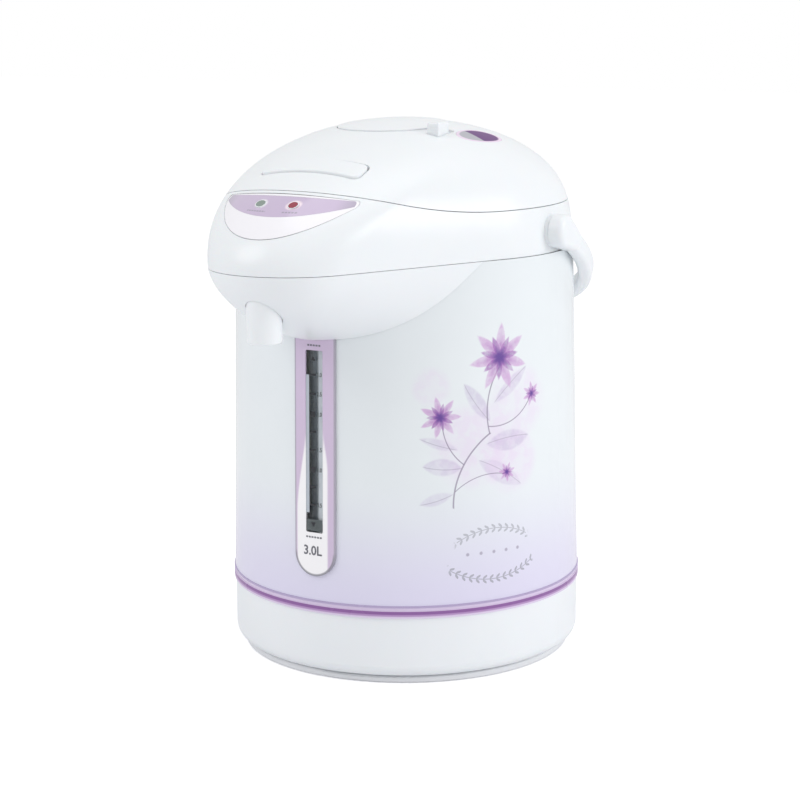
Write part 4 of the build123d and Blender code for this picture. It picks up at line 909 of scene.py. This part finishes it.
RED_LAMP = Finish(
    # Tinted acrylic lamp with its light on: deep red with a weak glow.
    "acrylic_lamp_red", "#8e1c37", "#7a1530", 0.14, ior=1.49, coat=0.4, cloud_mm=2.0,
    grain_mm=1.0, grain_depth=0.004, glow=0.25)
PRINTED_LABEL = LockMark(
    # Printed and lacquered oval label: flat ink under a gloss film.
    "label_film_printed", "#6b3b80", "#603372", 0.4, ior=1.4, grain_mm=2.0, grain_depth=0.004)


# ---- pieces -----------------------------------------------------------------------------------


def link(mesh: bpy.types.Mesh, name: str) -> bpy.types.Object:
    """Put a mesh into the scene as an object at the origin.

    Args:
        mesh: Finished mesh, in metres.
        name: Name of the piece.

    Returns:
        The new object.
    """
    piece = bpy.data.objects.new(name, mesh)
    bpy.context.scene.collection.objects.link(piece)
    return piece


def box(shape: Shape, width: float, depth: float, height: float) -> list[bmesh.types.BMVert]:
    """Add a box round the origin.

    Args:
        shape: Mesh that gets the box.
        width: Size along X.
        depth: Size along Y.
        height: Size along Z.

    Returns:
        The box's corners.
    """
    verts = bmesh.ops.create_cube(shape, size=1.0)["verts"]
    bmesh.ops.scale(shape, vec=(width, depth, height), verts=verts)
    return verts


def move(shape: Shape, step: Sequence[float], verts: Sequence | None = None) -> None:
    """Shift a mesh, or only the points that are given."""
    bmesh.ops.translate(shape, vec=step, verts=shape.verts if verts is None else verts)


def rotate(shape: Shape, degrees: float, axis: str, verts: Sequence | None = None) -> None:
    """Turn a mesh, or only the points that are given, about an axis through the origin."""
    bmesh.ops.rotate(shape, cent=(0, 0, 0), matrix=Matrix.Rotation(math.radians(degrees), 3, axis),
                     verts=shape.verts if verts is None else verts)


def ease(shape: Shape, edges: Sequence, offset: float, segments: int = 2,
         clamp: bool = False) -> list[bmesh.types.BMFace]:
    """Round off edges of a mesh.

    Args:
        shape: Mesh in millimetres.
        edges: Edges to round off.
        offset: How far the rounding reaches from each edge.
        segments: Number of steps in the rounding.
        clamp: Whether the rounding stops where it would meet another.

    Returns:
        The faces of the rounding.
    """
    return bmesh.ops.bevel(shape, geom=edges, offset=offset, segments=segments, profile=0.5,
                           affect="EDGES", material=-1, clamp_overlap=clamp)["faces"]


def ring(radius: float, wire: float, steps: int, height: float = 0.0) -> Shape:
    """Roll a round wire into a closed ring about Z.

    Args:
        radius: Radius of the ring's middle line.
        wire: Radius of the wire.
        steps: Number of steps round the ring.
        height: Height of the ring.

    Returns:
        The ring's mesh.
    """
    shape = bmesh.new()
    profile = bmesh.ops.create_circle(shape, cap_ends=False, segments=10, radius=wire)["verts"]
    rotate(shape, 90.0, "X", profile)
    move(shape, (radius, 0.0, height), profile)
    bmesh.ops.spin(shape, geom=list(shape.verts) + list(shape.edges), cent=(0, 0, 0),
                   axis=(0, 0, 1), angle=2 * math.pi, steps=steps, use_merge=True)
    bmesh.ops.remove_doubles(shape, verts=shape.verts, dist=WELD)
    return shape


def plate(shape: Shape, width: float, height: float, centre: Point,
          thickness: float = 0.08) -> None:
    """Add a thin upright plate with eased edges, facing -Y, in millimetres.

    Args:
        shape: Mesh that gets the plate.
        width: Breadth along X.
        height: Height along Z.
        centre: Its middle, across and up.
        thickness: Depth along Y.
    """
    made = box(shape, width, thickness, height)
    edges = list({edge for vert in made for edge in vert.link_edges})
    eased = ease(shape, edges, min(width, height) * PLATE_EASE, clamp=True)
    verts = list({vert for face in eased for vert in face.verts})
    verts = [vert for vert in shape.verts if vert.is_valid and (vert in made or vert in verts)]
    move(shape, (centre[0], 0.0, centre[1]), verts)


def letters(text: str, height: float, middle: Point, squeeze: float) -> Shape:
    """Shape figures as a thin mesh that faces -Y, in millimetres.

    Args:
        text: Figures to shape.
        height: Height of a capital.
        middle: Place of the text's middle, across and up.
        squeeze: Breadth of the figures against the font's own.

    Returns:
        The figures' mesh.
    """
    curve = bpy.data.curves.new("figures", "FONT")
    curve.body = text
    curve.size = height / CAPITAL_SHARE
    curve.extrude = FIGURE_RAISE
    curve.offset = FIGURE_WEIGHT * curve.size
    curve.align_x = curve.align_y = "CENTER"
    curve.resolution_u = 3
    holder = bpy.data.objects.new("figures", curve)
    bpy.context.scene.collection.objects.link(holder)
    mesh = bpy.data.meshes.new_from_object(holder)
    bpy.data.objects.remove(holder)
    bpy.data.curves.remove(curve)
    shape = bmesh.new()
    shape.from_mesh(mesh)
    bpy.data.meshes.remove(mesh)
    bmesh.ops.remove_doubles(shape, verts=shape.verts, dist=WELD)
    bmesh.ops.scale(shape, vec=(squeeze, 1.0, 1.0), verts=shape.verts)
    rotate(shape, 90.0, "X")
    move(shape, (middle[0], 0.0, middle[1]))
    return shape


def join(target: Shape, source: Shape) -> None:
    """Copy one mesh into another and free it.

    Args:
        target: Mesh that grows.
        source: Mesh that is copied and freed.
    """
    mesh = bpy.data.meshes.new("joined")
    source.to_mesh(mesh)
    source.free()
    target.from_mesh(mesh)
    bpy.data.meshes.remove(mesh)


def wrap(shape: Shape, lift: float) -> None:
    """Lay a flat upright mesh onto the front of the jacket.

    Args:
        shape: Mesh in millimetres whose Y is its own depth.
        lift: How far it stands off the jacket's surface.
    """
    for vert in shape.verts:
        radius = cone_radius(vert.co.z) + lift - vert.co.y
        vert.co.y = -math.sqrt(radius ** 2 - vert.co.x ** 2)


@dataclass
class SubAssembly:
    """A group of pieces: dresses its CAD nodes and adds the small pieces that finish them."""

    crease: float = 40.0
    finishes: dict[str, Finish] = field(default_factory=dict)

    def dress(self) -> None:
        """Give each CAD node of the group its finish."""
        for node, finish in self.finishes.items():
            for slot in frame["nodes"][node].material_slots:
                slot.material = finish.material()
            LOG.info("dressed %s in %s", node, finish.name)

    def piece(self, shape: Shape, name: str, finish: Finish, host: str,
              slot: str, smooth: bool = True) -> bpy.types.Object:
        """Turn a mesh in millimetres into a finished piece that rides with a CAD node.

        Args:
            shape: Mesh in millimetres, freed here.
            name: Name of the piece.
            finish: Its finish.
            host: CAD node that carries it.
            slot: Material slot of the record that it belongs to; not used.
            smooth: Whether its faces are shaded smooth.

        Returns:
            The new piece.
        """
        bmesh.ops.scale(shape, vec=(MM, MM, MM), verts=shape.verts)
        bmesh.ops.recalc_face_normals(shape, faces=shape.faces)
        for face in shape.faces:
            face.smooth = smooth
        crease = math.radians(self.crease)
        for edge in shape.edges:
            edge.smooth = edge.is_manifold and edge.calc_face_angle(0.0) < crease
        mesh = bpy.data.meshes.new(name)
        shape.to_mesh(mesh)
        shape.free()
        mesh.materials.append(finish.material())
        made = link(mesh, name)
        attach(made, frame["nodes"][host]["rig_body"])
        LOG.info("made %s with %d faces", name, len(mesh.polygons))
        return made

    def details(self) -> None:
        """Add the group's small pieces."""

    def build(self) -> None:
        """Dress the nodes, then add the small pieces."""
        self.dress()
        self.details()


@dataclass
class FootAndBase(SubAssembly):
    """Turning foot, base, trim band and mains inlet."""

    inlet_face: float = 100.8
    inlet_centre: float = 24.0
    inlet_width: float = 28.0
    inlet_height: float = 14.0
    lip_width: float = 2.2
    lip_depth: float = 0.9
    lip_land: float = 1.8
    lip_rise: float = 0.3
    lip_ease: float = 0.25
    finishes: dict[str, Finish] = field(default_factory=lambda: {
        "swivel_plate": SATIN_POLYPROPYLENE, "foot_ring": FOOT_RUBBER,
        "swivel_retainer": ZINC_PLATED_STEEL, "swivel_screws": ZINC_PLATED_STEEL,
        "base_cover": SATIN_POLYPROPYLENE, "base_housing": WHITE_POLYPROPYLENE,
        "base_screws": ZINC_PLATED_STEEL, "power_inlet": BLACK_POLYESTER,
        "inlet_pins": MACHINED_BRASS, "trim_band": TINTED_POLYPROPYLENE})

    def details(self) -> None:
        """Add the inlet's raised lip."""
        lip = bmesh.new()
        box(lip, self.inlet_width + 2 * self.lip_width, self.lip_depth,
            self.inlet_height + 2 * self.lip_width)
        faces = [face for face in lip.faces if abs(face.normal.y) > 0.9]
        bmesh.ops.inset_individual(lip, faces=faces, thickness=self.lip_land, depth=0.0)
        inner = [face for face in lip.faces if face in faces]
        loops = [edge for face in inner for edge in face.edges]
        bmesh.ops.delete(lip, geom=inner, context="FACES_ONLY")
        bmesh.ops.bridge_loops(lip, edges=[edge for edge in loops if edge.is_valid])
        ease(lip, [edge for edge in lip.edges if edge.calc_face_angle(0.0) > 1.0], self.lip_ease,
             clamp=True)
        move(lip, (0.0, self.inlet_face + self.lip_rise, self.inlet_centre))
        self.piece(lip, "inlet_lip", BLACK_POLYESTER, "power_inlet", "inlet_plastic")


@dataclass
class Jacket(SubAssembly):
    """Printed outer jacket with the lap seam at its rear."""

    seam_width: float = 4.0
    seam_rise: float = 0.25
    seam_foot: float = 47.2
    seam_top: float = 236.8
    finishes: dict[str, Finish] = field(default_factory=lambda: {"outer_body": ENAMELLED_STEEL})

    def details(self) -> None:
        """Add the flattened lap seam that closes the sheet at the rear."""
        seam = bmesh.new()
        box(seam, self.seam_width, 2 * self.seam_rise, 1.0)
        uprights = [edge for edge in seam.edges
                    if abs(edge.verts[0].co.z - edge.verts[1].co.z) > 0.5]
        ease(seam, uprights, self.seam_rise * 0.9, segments=3)
        for vert in seam.verts:
            height = self.seam_top if vert.co.z > 0 else self.seam_foot
            vert.co.y += math.sqrt(cone_radius(height) ** 2 - vert.co.x ** 2)
            vert.co.z = height
        self.piece(seam, "jacket_seam", ENAMELLED_STEEL, "outer_body", "jacket_paint")


@dataclass
class LevelGauge(SubAssembly):
    """Gauge frame, window, tube and the printed scale.

    Every place is in millimetres: across from the middle of the front, and up from the table.
    """

    window_lift: float = 1.24
    frame_lift: float = 1.54
    ticks: tuple[float, ...] = (175.4, 164.6, 143.4, 133.2, 112.0, 101.8)
    tick_size: Point = (4.2, 1.1)
    dots: tuple[float, ...] = (153.2, 121.8)
    dot_size: Point = (2.8, 3.2)
    # Pointers: height, and the turn in degrees of a triangle that points up.
    pointers: tuple[Point, ...] = ((184.1, 0.0), (90.9, -180.0))
    pointer_radius: float = 1.8
    pointer_rise: float = 0.05
    mark_middle: float = -1.0
    dot_middle: float = -0.7
    figures: tuple[tuple[str, float], ...] = (
        ("3.0", 175.4), ("2.5", 164.6), ("2.0", 153.2), ("1.5", 133.2), ("1.0", 121.8),
        ("0.5", 101.8))
    figure_height: float = 2.3
    figure_middle: float = 3.3
    figure_squeeze: float = 0.8
    capacity_height: float = 5.2
    capacity_place: Point = (-1.2, 75.4)
    capacity_squeeze: float = 0.95
    # Rows of dashes: height, first place across, number.
    dash_rows: tuple[tuple[float, float, int], ...] = ((191.8, -3.6, 5), (83.4, -4.8, 6))
    dash_size: Point = (1.2, 1.0)
    dash_pitch: float = 1.8
    # The dark card behind the tube is painted shade for the cavity, and its finish glows as
    # painted light.
    card_size: Point = (11.6, 108.0)
    card_place: Point = (-2.6, 137.5)
    card_thickness: float = 0.6
    card_depth: float = 88.6
    # A pale strip painted on the window over the tube, as its highlight.
    highlight_size: Point = (2.1, 78.0)
    highlight_place: Point = (-4.35, 136.2)
    block_size: Point = (10.4, 6.6)
    block_place: Point = (-0.1, 90.2)
    block_sink: float = 0.02
    film: float = 0.06
    finishes: dict[str, Finish] = field(default_factory=lambda: {
        "gauge_frame": BACK_PRINTED_ACRYLIC, "gauge_window": CLEAR_ACRYLIC,
        "gauge_scale": SCALE_CARD, "level_tube": TUBE_GLASS})

    def on_window(self, shape: Shape, name: str, finish: Finish, sink: float = 0.0) -> None:
        """Print a flat mesh on the window.

        Args:
            shape: Flat upright mesh in millimetres.
            name: Name of the piece.
            finish: Its finish.
            sink: How far it lies below the other prints.
        """
        wrap(shape, self.window_lift - sink)
        self.piece(shape, name, finish, "gauge_window", "clear", smooth=False)

    def on_frame(self, shape: Shape, name: str) -> None:
        """Print a flat mesh in grey on the frame."""
        wrap(shape, self.frame_lift)
        self.piece(shape, name, GREY_INK, "gauge_frame", "lilac_print", smooth=False)

    def marks(self) -> None:
        """Print the ticks, the square dots and the two pointers on the window."""
        shape = bmesh.new()
        for height in self.ticks:
            plate(shape, *self.tick_size, (self.mark_middle, height))
        for height in self.dots:
            plate(shape, *self.dot_size, (self.dot_middle, height))
        for height, degrees in self.pointers:
            tip = bmesh.ops.create_circle(shape, cap_ends=True, segments=3,
                                          radius=self.pointer_radius)["verts"]
            rotate(shape, 90.0, "X", tip)
            rotate(shape, degrees, "Y", tip)
            faces = list({face for vert in tip for face in vert.link_faces})
            raised = bmesh.ops.extrude_face_region(shape, geom=faces)["geom"]
            lifted = [item for item in raised if isinstance(item, bmesh.types.BMVert)]
            move(shape, (0.0, -self.pointer_rise, 0.0), lifted)
            move(shape, (self.dot_middle, 0.0, height), tip + lifted)
        self.on_window(shape, "gauge_marks", BLACK_INK)

    def numbers(self) -> None:
        """Print the litre figures on the window beside the marks."""
        shape = bmesh.new()
        for text, height in self.figures:
            join(shape, letters(text, self.figure_height, (self.figure_middle, height),
                                self.figure_squeeze))
        self.on_window(shape, "gauge_figures", SLATE_INK)

    def capacity(self) -> None:
        """Print the capacity and the two rows of small dashes on the frame."""
        self.on_frame(letters("3.0L", self.capacity_height, self.capacity_place,
                              self.capacity_squeeze), "gauge_capacity")
        rows = bmesh.new()
        for height, left, count in self.dash_rows:
            for index in range(count):
                plate(rows, *self.dash_size, (left + self.dash_pitch * index, height))
        self.on_frame(rows, "gauge_dashes")

    def backing(self) -> None:
        """Stand the dark card behind the tube as painted shade of the cavity, glowing a little as
        painted light; paint the tube's highlight as a pale strip and print the foot block.
        """
        # Painted shade: a dark card where the cavity behind the window lies in shade, with a
        # painted glow.
        card = bmesh.new()
        plate(card, *self.card_size, self.card_place, self.card_thickness)
        move(card, (0.0, -self.card_depth, 0.0))
        self.piece(card, "gauge_shade_card", CAVITY_SHADE_CARD, "gauge_scale", "white_satin")
        # Painted highlight: a pale strip on the window over the glass tube.
        strip = bmesh.new()
        plate(strip, *self.highlight_size, self.highlight_place, self.film)
        self.on_window(strip, "gauge_tube_highlight", TUBE_HIGHLIGHT_PAINT)
        block = bmesh.new()
        plate(block, *self.block_size, self.block_place, self.film)
        self.on_window(block, "gauge_foot_block", SLATE_INK, self.block_sink)

    def details(self) -> None:
        """Add every printed or inserted piece of the gauge."""
        self.marks()
        self.numbers()
        self.capacity()
        self.backing()


@dataclass
class WaterPath(SubAssembly):
    """Hoses, tip valve and nozzle."""

    nozzle_y: float = -149.8
    cross_middle: float = 205.6
    cross_span: float = 9.8
    cross_wall: float = 0.7
    cross_height: float = 1.6
    cross_ease: float = 0.12
    finishes: dict[str, Finish] = field(default_factory=lambda: {
        "suction_hose": MILKY_SILICONE, "tube_joint": MILKY_SILICONE,
        "tip_valve": SATIN_POLYPROPYLENE, "valve_ball": STAINLESS_STEEL,
        "spout_pipe": MILKY_SILICONE, "nozzle": WHITE_POLYPROPYLENE})

    def details(self) -> None:
        """Set the small cross that calms the stream into the nozzle's bore."""
        cross = bmesh.new()
        for degrees in (0.0, 90.0):
            rotate(cross, degrees, "Z", box(cross, self.cross_span, self.cross_wall,
                                            self.cross_height))
        ease(cross, list(cross.edges), self.cross_ease)
        move(cross, (0.0, self.nozzle_y, self.cross_middle))
        self.piece(cross, "nozzle_cross", SATIN_POLYPROPYLENE, "nozzle", "white_satin")


@dataclass
class PotAndHeating(SubAssembly):
    """Inner pot with its level mark, and the heating parts below and round it."""

    mark_height: float = 196.0
    mark_radius: float = 0.5
    wall_radius: float = 84.8
    finishes: dict[str, Finish] = field(default_factory=lambda: {
        "inner_pot": STAINLESS_STEEL, "pot_seal": MILKY_SILICONE,
        "heater_plate": PRESSED_ALUMINIUM, "heater_band": PRESSED_ALUMINIUM,
        "insulation_sleeve": NEEDLED_FELT, "thermostat": BLACK_POLYESTER,
        "thermal_fuse": SATIN_POLYPROPYLENE, "terminal_block": SATIN_POLYPROPYLENE})

    def details(self) -> None:
        """Roll the full mark into the pot's wall."""
        self.piece(ring(self.wall_radius, self.mark_radius, steps=96, height=self.mark_height),
                   "pot_full_mark", STAINLESS_STEEL, "inner_pot", "pot_steel")


@dataclass
class ShoulderAndBeak(SubAssembly):
    """Shoulder with the beak, its cover, the mouth, the handle and the hinge's pin."""

    finishes: dict[str, Finish] = field(default_factory=lambda: {
        "shoulder_housing": WHITE_POLYPROPYLENE, "beak_cover": WHITE_POLYPROPYLENE,
        "mouth_collar": SATIN_POLYPROPYLENE, "handle_pivots": SATIN_POLYPROPYLENE,
        "hinge_pin": ZINC_PLATED_STEEL, "handle": WHITE_POLYPROPYLENE})


@dataclass
class ControlPanel(SubAssembly):
    """Panel plate, lilac window, lamps and the board behind them."""

    lamp_spacing: float = 20.4
    slope: float = 30.0
    collar_radius: float = 2.9
    collar_wire: float = 0.28
    lamp_radius: float = 2.6
    collar_sink: float = 0.35
    finishes: dict[str, Finish] = field(default_factory=lambda: {
        "control_panel": PANEL_PLATE, "panel_lens": LENS_ACRYLIC,
        "keep_warm_lamp": RED_LAMP, "boil_lamp": GREEN_LAMP,
        "indicator_board": GLASS_LAMINATE})

    def details(self) -> None:
        """Add the lamps' collars."""
        tilt = math.radians(self.slope)
        for sign, name in ((-1, "boil"), (1, "keep_warm")):
            low, high = (Vector(corner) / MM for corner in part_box(name + "_lamp"))
            collar = ring(self.collar_radius, self.collar_wire, steps=40)
            rotate(collar, self.slope, "X")
            top = Vector((sign * self.lamp_spacing / 2,
                          low.y + self.lamp_radius * math.cos(tilt),
                          high.z - self.lamp_radius * math.sin(tilt)))
            top -= Vector((0.0, -math.sin(tilt), math.cos(tilt))) * self.collar_sink
            move(collar, top)
            self.piece(collar, name + "_collar", WHITE_POLYPROPYLENE, name + "_lamp",
                       "white_gloss")


@dataclass
class Lid(SubAssembly):
    """Hinged lid with its pump, pad, lock and lever."""

    fold_count: int = 6
    fold_rings: int = 8
    fold_depth: float = 5.0
    fold_roundness: float = 0.8
    bellows_wall: float = 1.2
    turn_count: int = 6
    turn_steps: int = 48
    wire_radius: float = 0.9
    # The middle of the topmost finger rib on the lock's front.
    rib_place: tuple[float, float, float] = (37.5, -33.1, 308.3)
    rib_size: tuple[float, float, float] = (5.0, 0.5, 0.5)
    rib_count: int = 3
    rib_pitch: float = 1.6
    rib_ease: float = 0.12
    finishes: dict[str, Finish] = field(default_factory=lambda: {
        "lid_shell": WHITE_POLYPROPYLENE, "lid_underside": SATIN_POLYPROPYLENE,
        "lid_gasket": MILKY_SILICONE, "valve_flap": MILKY_SILICONE, "lock_label": PRINTED_LABEL,
        "lever_pin": ZINC_PLATED_STEEL, "bellows": MILKY_SILICONE,
        "pump_spring": ZINC_PLATED_STEEL, "push_pad": WHITE_POLYPROPYLENE,
        "lock_slider": WHITE_POLYPROPYLENE, "lid_lever": WHITE_POLYPROPYLENE})

    def pressed(self, made: bpy.types.Object, node: str) -> None:
        """Let a piece stand for a CAD node: hide the node and give the piece its own mesh.

        Args:
            made: Piece at rest.
            node: CAD node that it stands for.
        """
        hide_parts(node)
        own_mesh(made)

    def bellows(self) -> None:
        """Blow the folded silicone bellows of the pump."""
        low, high = (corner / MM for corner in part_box("bellows"))
        radius, height = (high.x - low.x) / 2, high.z - low.z
        shape = bmesh.new()
        bmesh.ops.create_cone(shape, cap_ends=False, segments=96, radius1=radius, radius2=radius,
                              depth=height)
        uprights = [edge for edge in shape.edges
                    if abs(edge.verts[0].co.z - edge.verts[1].co.z) > height / 2]
        bmesh.ops.subdivide_edges(shape, edges=uprights, use_grid_fill=True,
                                  cuts=self.fold_count * self.fold_rings - 1)
        for vert in shape.verts:
            wave = 0.5 + 0.5 * math.cos(
                2 * math.pi * self.fold_count * (vert.co.z / height + 0.5))
            reach = (radius - self.bellows_wall / 2
                     - self.fold_depth * (1 - wave ** self.fold_roundness))
            vert.co.x, vert.co.y = vert.co.xy.normalized() * reach
        bmesh.ops.recalc_face_normals(shape, faces=shape.faces)
        bmesh.ops.solidify(shape, geom=list(shape.faces), thickness=self.bellows_wall)
        move(shape, (low + high) / 2)
        self.pressed(self.piece(shape, "folded_bellows", MILKY_SILICONE, "bellows",
                                "seal_rubber"), "bellows")

    def spring(self) -> None:
        """Wind the return spring inside the bellows."""
        low, high = (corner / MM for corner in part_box("pump_spring"))
        coil = (high.x - low.x) / 2 - self.wire_radius
        rise = high.z - low.z - 2 * self.wire_radius
        steps = self.turn_count * self.turn_steps
        shape = bmesh.new()
        wire = bmesh.ops.create_circle(shape, cap_ends=True, segments=12,
                                       radius=self.wire_radius)["verts"]
        rotate(shape, 90.0, "X", wire)
        move(shape, (coil, 0.0, low.z + self.wire_radius), wire)
        bmesh.ops.spin(shape, geom=list(shape.faces), cent=(0, 0, 0), axis=(0, 0, 1),
                       dvec=(0, 0, rise / steps), angle=2 * math.pi * self.turn_count,
                       steps=steps)
        move(shape, (0.0, (low.y + high.y) / 2, 0.0))
        self.pressed(self.piece(shape, "wound_spring", ZINC_PLATED_STEEL, "pump_spring",
                                "plated_steel"), "pump_spring")

    def ribs(self) -> None:
        """Add the finger ribs on the lock's front."""
        shape = bmesh.new()
        for index in range(self.rib_count):
            move(shape, (0.0, 0.0, -self.rib_pitch * index), box(shape, *self.rib_size))
        ease(shape, list(shape.edges), self.rib_ease)
        move(shape, self.rib_place)
        self.piece(shape, "lock_ribs", WHITE_POLYPROPYLENE, "lock_slider", "white_gloss")

    def details(self) -> None:
        """Make the pump's moving insides and the lock's ribs."""
        self.bellows()
        self.spring()
        self.ribs()


# ---- setting ----------------------------------------------------------------------------------


@dataclass
class Setting:
    """Floor, lamps and the camera, in metres and degrees, with the lens in millimetres."""

    location: tuple[float, float, float] = (0.6124, -1.0736, 0.3878)
    azimuth: float = 29.7
    aim: float = -0.147
    pitch: float = 11.18
    roll: float = -0.37
    lens: float = 95.31
    sensor: float = 36.0
    far_end: float = 20.0
    sky: float = 0.68
    reflections: float = 0.74
    floor_tone: str = "#f4f4f6"
    floor_reach: float = 6.0
    floor_glow: float = 0.4
    lamp_aim: float = 0.16
    # Lamps: name, place and breadth in metres, power in watts.
    discs: tuple[tuple[str, tuple[float, float, float], float, float], ...] = (
        ("key_lamp", (-1.1, -1.3, 1.5), 1.2, 9.6),
        ("side_lamp", (1.7, 0.2, 0.9), 1.1, 10.6),
        ("top_lamp", (0.0, 0.3, 2.0), 1.6, 4.8))

    def camera(self) -> None:
        """Place the camera and make it the scene's own."""
        data = bpy.data.cameras.new("camera")
        data.lens = self.lens
        data.sensor_width = self.sensor
        data.clip_end = self.far_end
        eye = bpy.data.objects.new("camera", data)
        bpy.context.scene.collection.objects.link(eye)
        turn = math.radians(self.azimuth)
        ahead = Vector((-math.sin(turn), math.cos(turn), 0.0))
        ahead.rotate(Matrix.Rotation(-math.radians(self.aim), 3, "Z"))
        side = ahead.cross(Vector((0, 0, 1))).normalized()
        pitch = math.radians(self.pitch)
        forward = (ahead * math.cos(pitch) - Vector((0, 0, 1)) * math.sin(pitch)).normalized()
        top = side.cross(forward)
        roll = math.radians(self.roll)
        right = side * math.cos(roll) + top * math.sin(roll)
        above = top * math.cos(roll) - side * math.sin(roll)
        eye.matrix_world = Matrix.Translation(self.location) @ Matrix(
            (right, above, -forward)).transposed().to_4x4()
        bpy.context.scene.camera = eye

    def unseen_light(self, tree: bpy.types.NodeTree, lit: float, mirrored: float,
                     seen: float) -> Socket:
        """Level that differs for light on the object, in its reflections and where it is seen.

        Args:
            tree: Node tree of the floor or the world.
            lit: Level for diffuse light.
            mirrored: Level for glossy rays.
            seen: Level for camera and transmission rays.

        Returns:
            The level's socket.
        """
        ray = add_node(tree, "LightPath")
        look = add_node(tree, *MAXIMUM, {
            0: ray.outputs["Is Camera Ray"], 1: ray.outputs["Is Transmission Ray"]})
        shine = add_node(tree, "MapRange", None, {
            "Value": ray.outputs["Is Glossy Ray"], "To Min": lit, "To Max": mirrored})
        return add_node(tree, "MapRange", None, {
            "Value": look.outputs[0], "To Min": shine.outputs[0], "To Max": seen}).outputs[0]

    def floor(self) -> None:
        """Lay a wide white floor that still takes the pot's shadow."""
        shape = bmesh.new()
        bmesh.ops.create_grid(shape, x_segments=1, y_segments=1, size=self.floor_reach)
        mesh = bpy.data.meshes.new("floor")
        shape.to_mesh(mesh)
        shape.free()
        material = bpy.data.materials.new("studio_floor")
        material.use_nodes = True
        tree = material.node_tree
        tree.nodes.clear()
        matt = add_node(tree, "BsdfDiffuse", None, {"Color": linear(self.floor_tone)})
        glow = add_node(tree, "Emission", None, {
            "Color": linear(WHITE),
            "Strength": self.unseen_light(tree, 0.0, 0.0, self.floor_glow)})
        both = add_node(tree, "AddShader", None, {0: matt.outputs[0], 1: glow.outputs[0]})
        add_node(tree, "OutputMaterial", None, {"Surface": both.outputs[0]})
        mesh.materials.append(material)
        link(mesh, "floor")

    def lamps(self) -> None:
        """Hang broad soft lamps and set the even sky."""
        world = bpy.data.worlds.new("studio")
        bpy.context.scene.world = world
        world.use_nodes = True
        tree = world.node_tree
        tree.nodes.clear()
        sky = add_node(tree, "Background", None, {
            "Color": linear(WHITE),
            "Strength": self.unseen_light(tree, self.sky, self.reflections, 1.0)})
        add_node(tree, "OutputWorld", None, {"Surface": sky.outputs[0]})
        for name, place, size, power in self.discs:
            data = bpy.data.lights.new(name, "AREA")
            data.shape = "DISK"
            data.size = size
            data.energy = power
            lamp = bpy.data.objects.new(name, data)
            bpy.context.scene.collection.objects.link(lamp)
            aim = Vector((0, 0, self.lamp_aim)) - Vector(place)
            lamp.matrix_world = Matrix.Translation(place) @ aim.to_track_quat(
                "-Z", "Y").to_matrix().to_4x4()

    def build(self) -> None:
        """Set the plain colour handling, the camera, the floor and the lamps."""
        bpy.context.scene.view_settings.view_transform = "Standard"
        self.camera()
        self.floor()
        self.lamps()


def main() -> None:
    """Build the setting and every sub-assembly in order, then log the CAD nodes left undressed."""
    logging.basicConfig(level=logging.INFO)
    Setting().build()
    groups: tuple[SubAssembly, ...] = (
        FootAndBase(), Jacket(), LevelGauge(), WaterPath(), PotAndHeating(), ShoulderAndBeak(),
        ControlPanel(), Lid())
    dressed: set[str] = set()
    for group in groups:
        group.build()
        dressed.update(group.finishes)
    LOG.info("left undressed: %s", sorted(set(frame["nodes"]) - dressed))


if __name__ == "__main__":
    main()
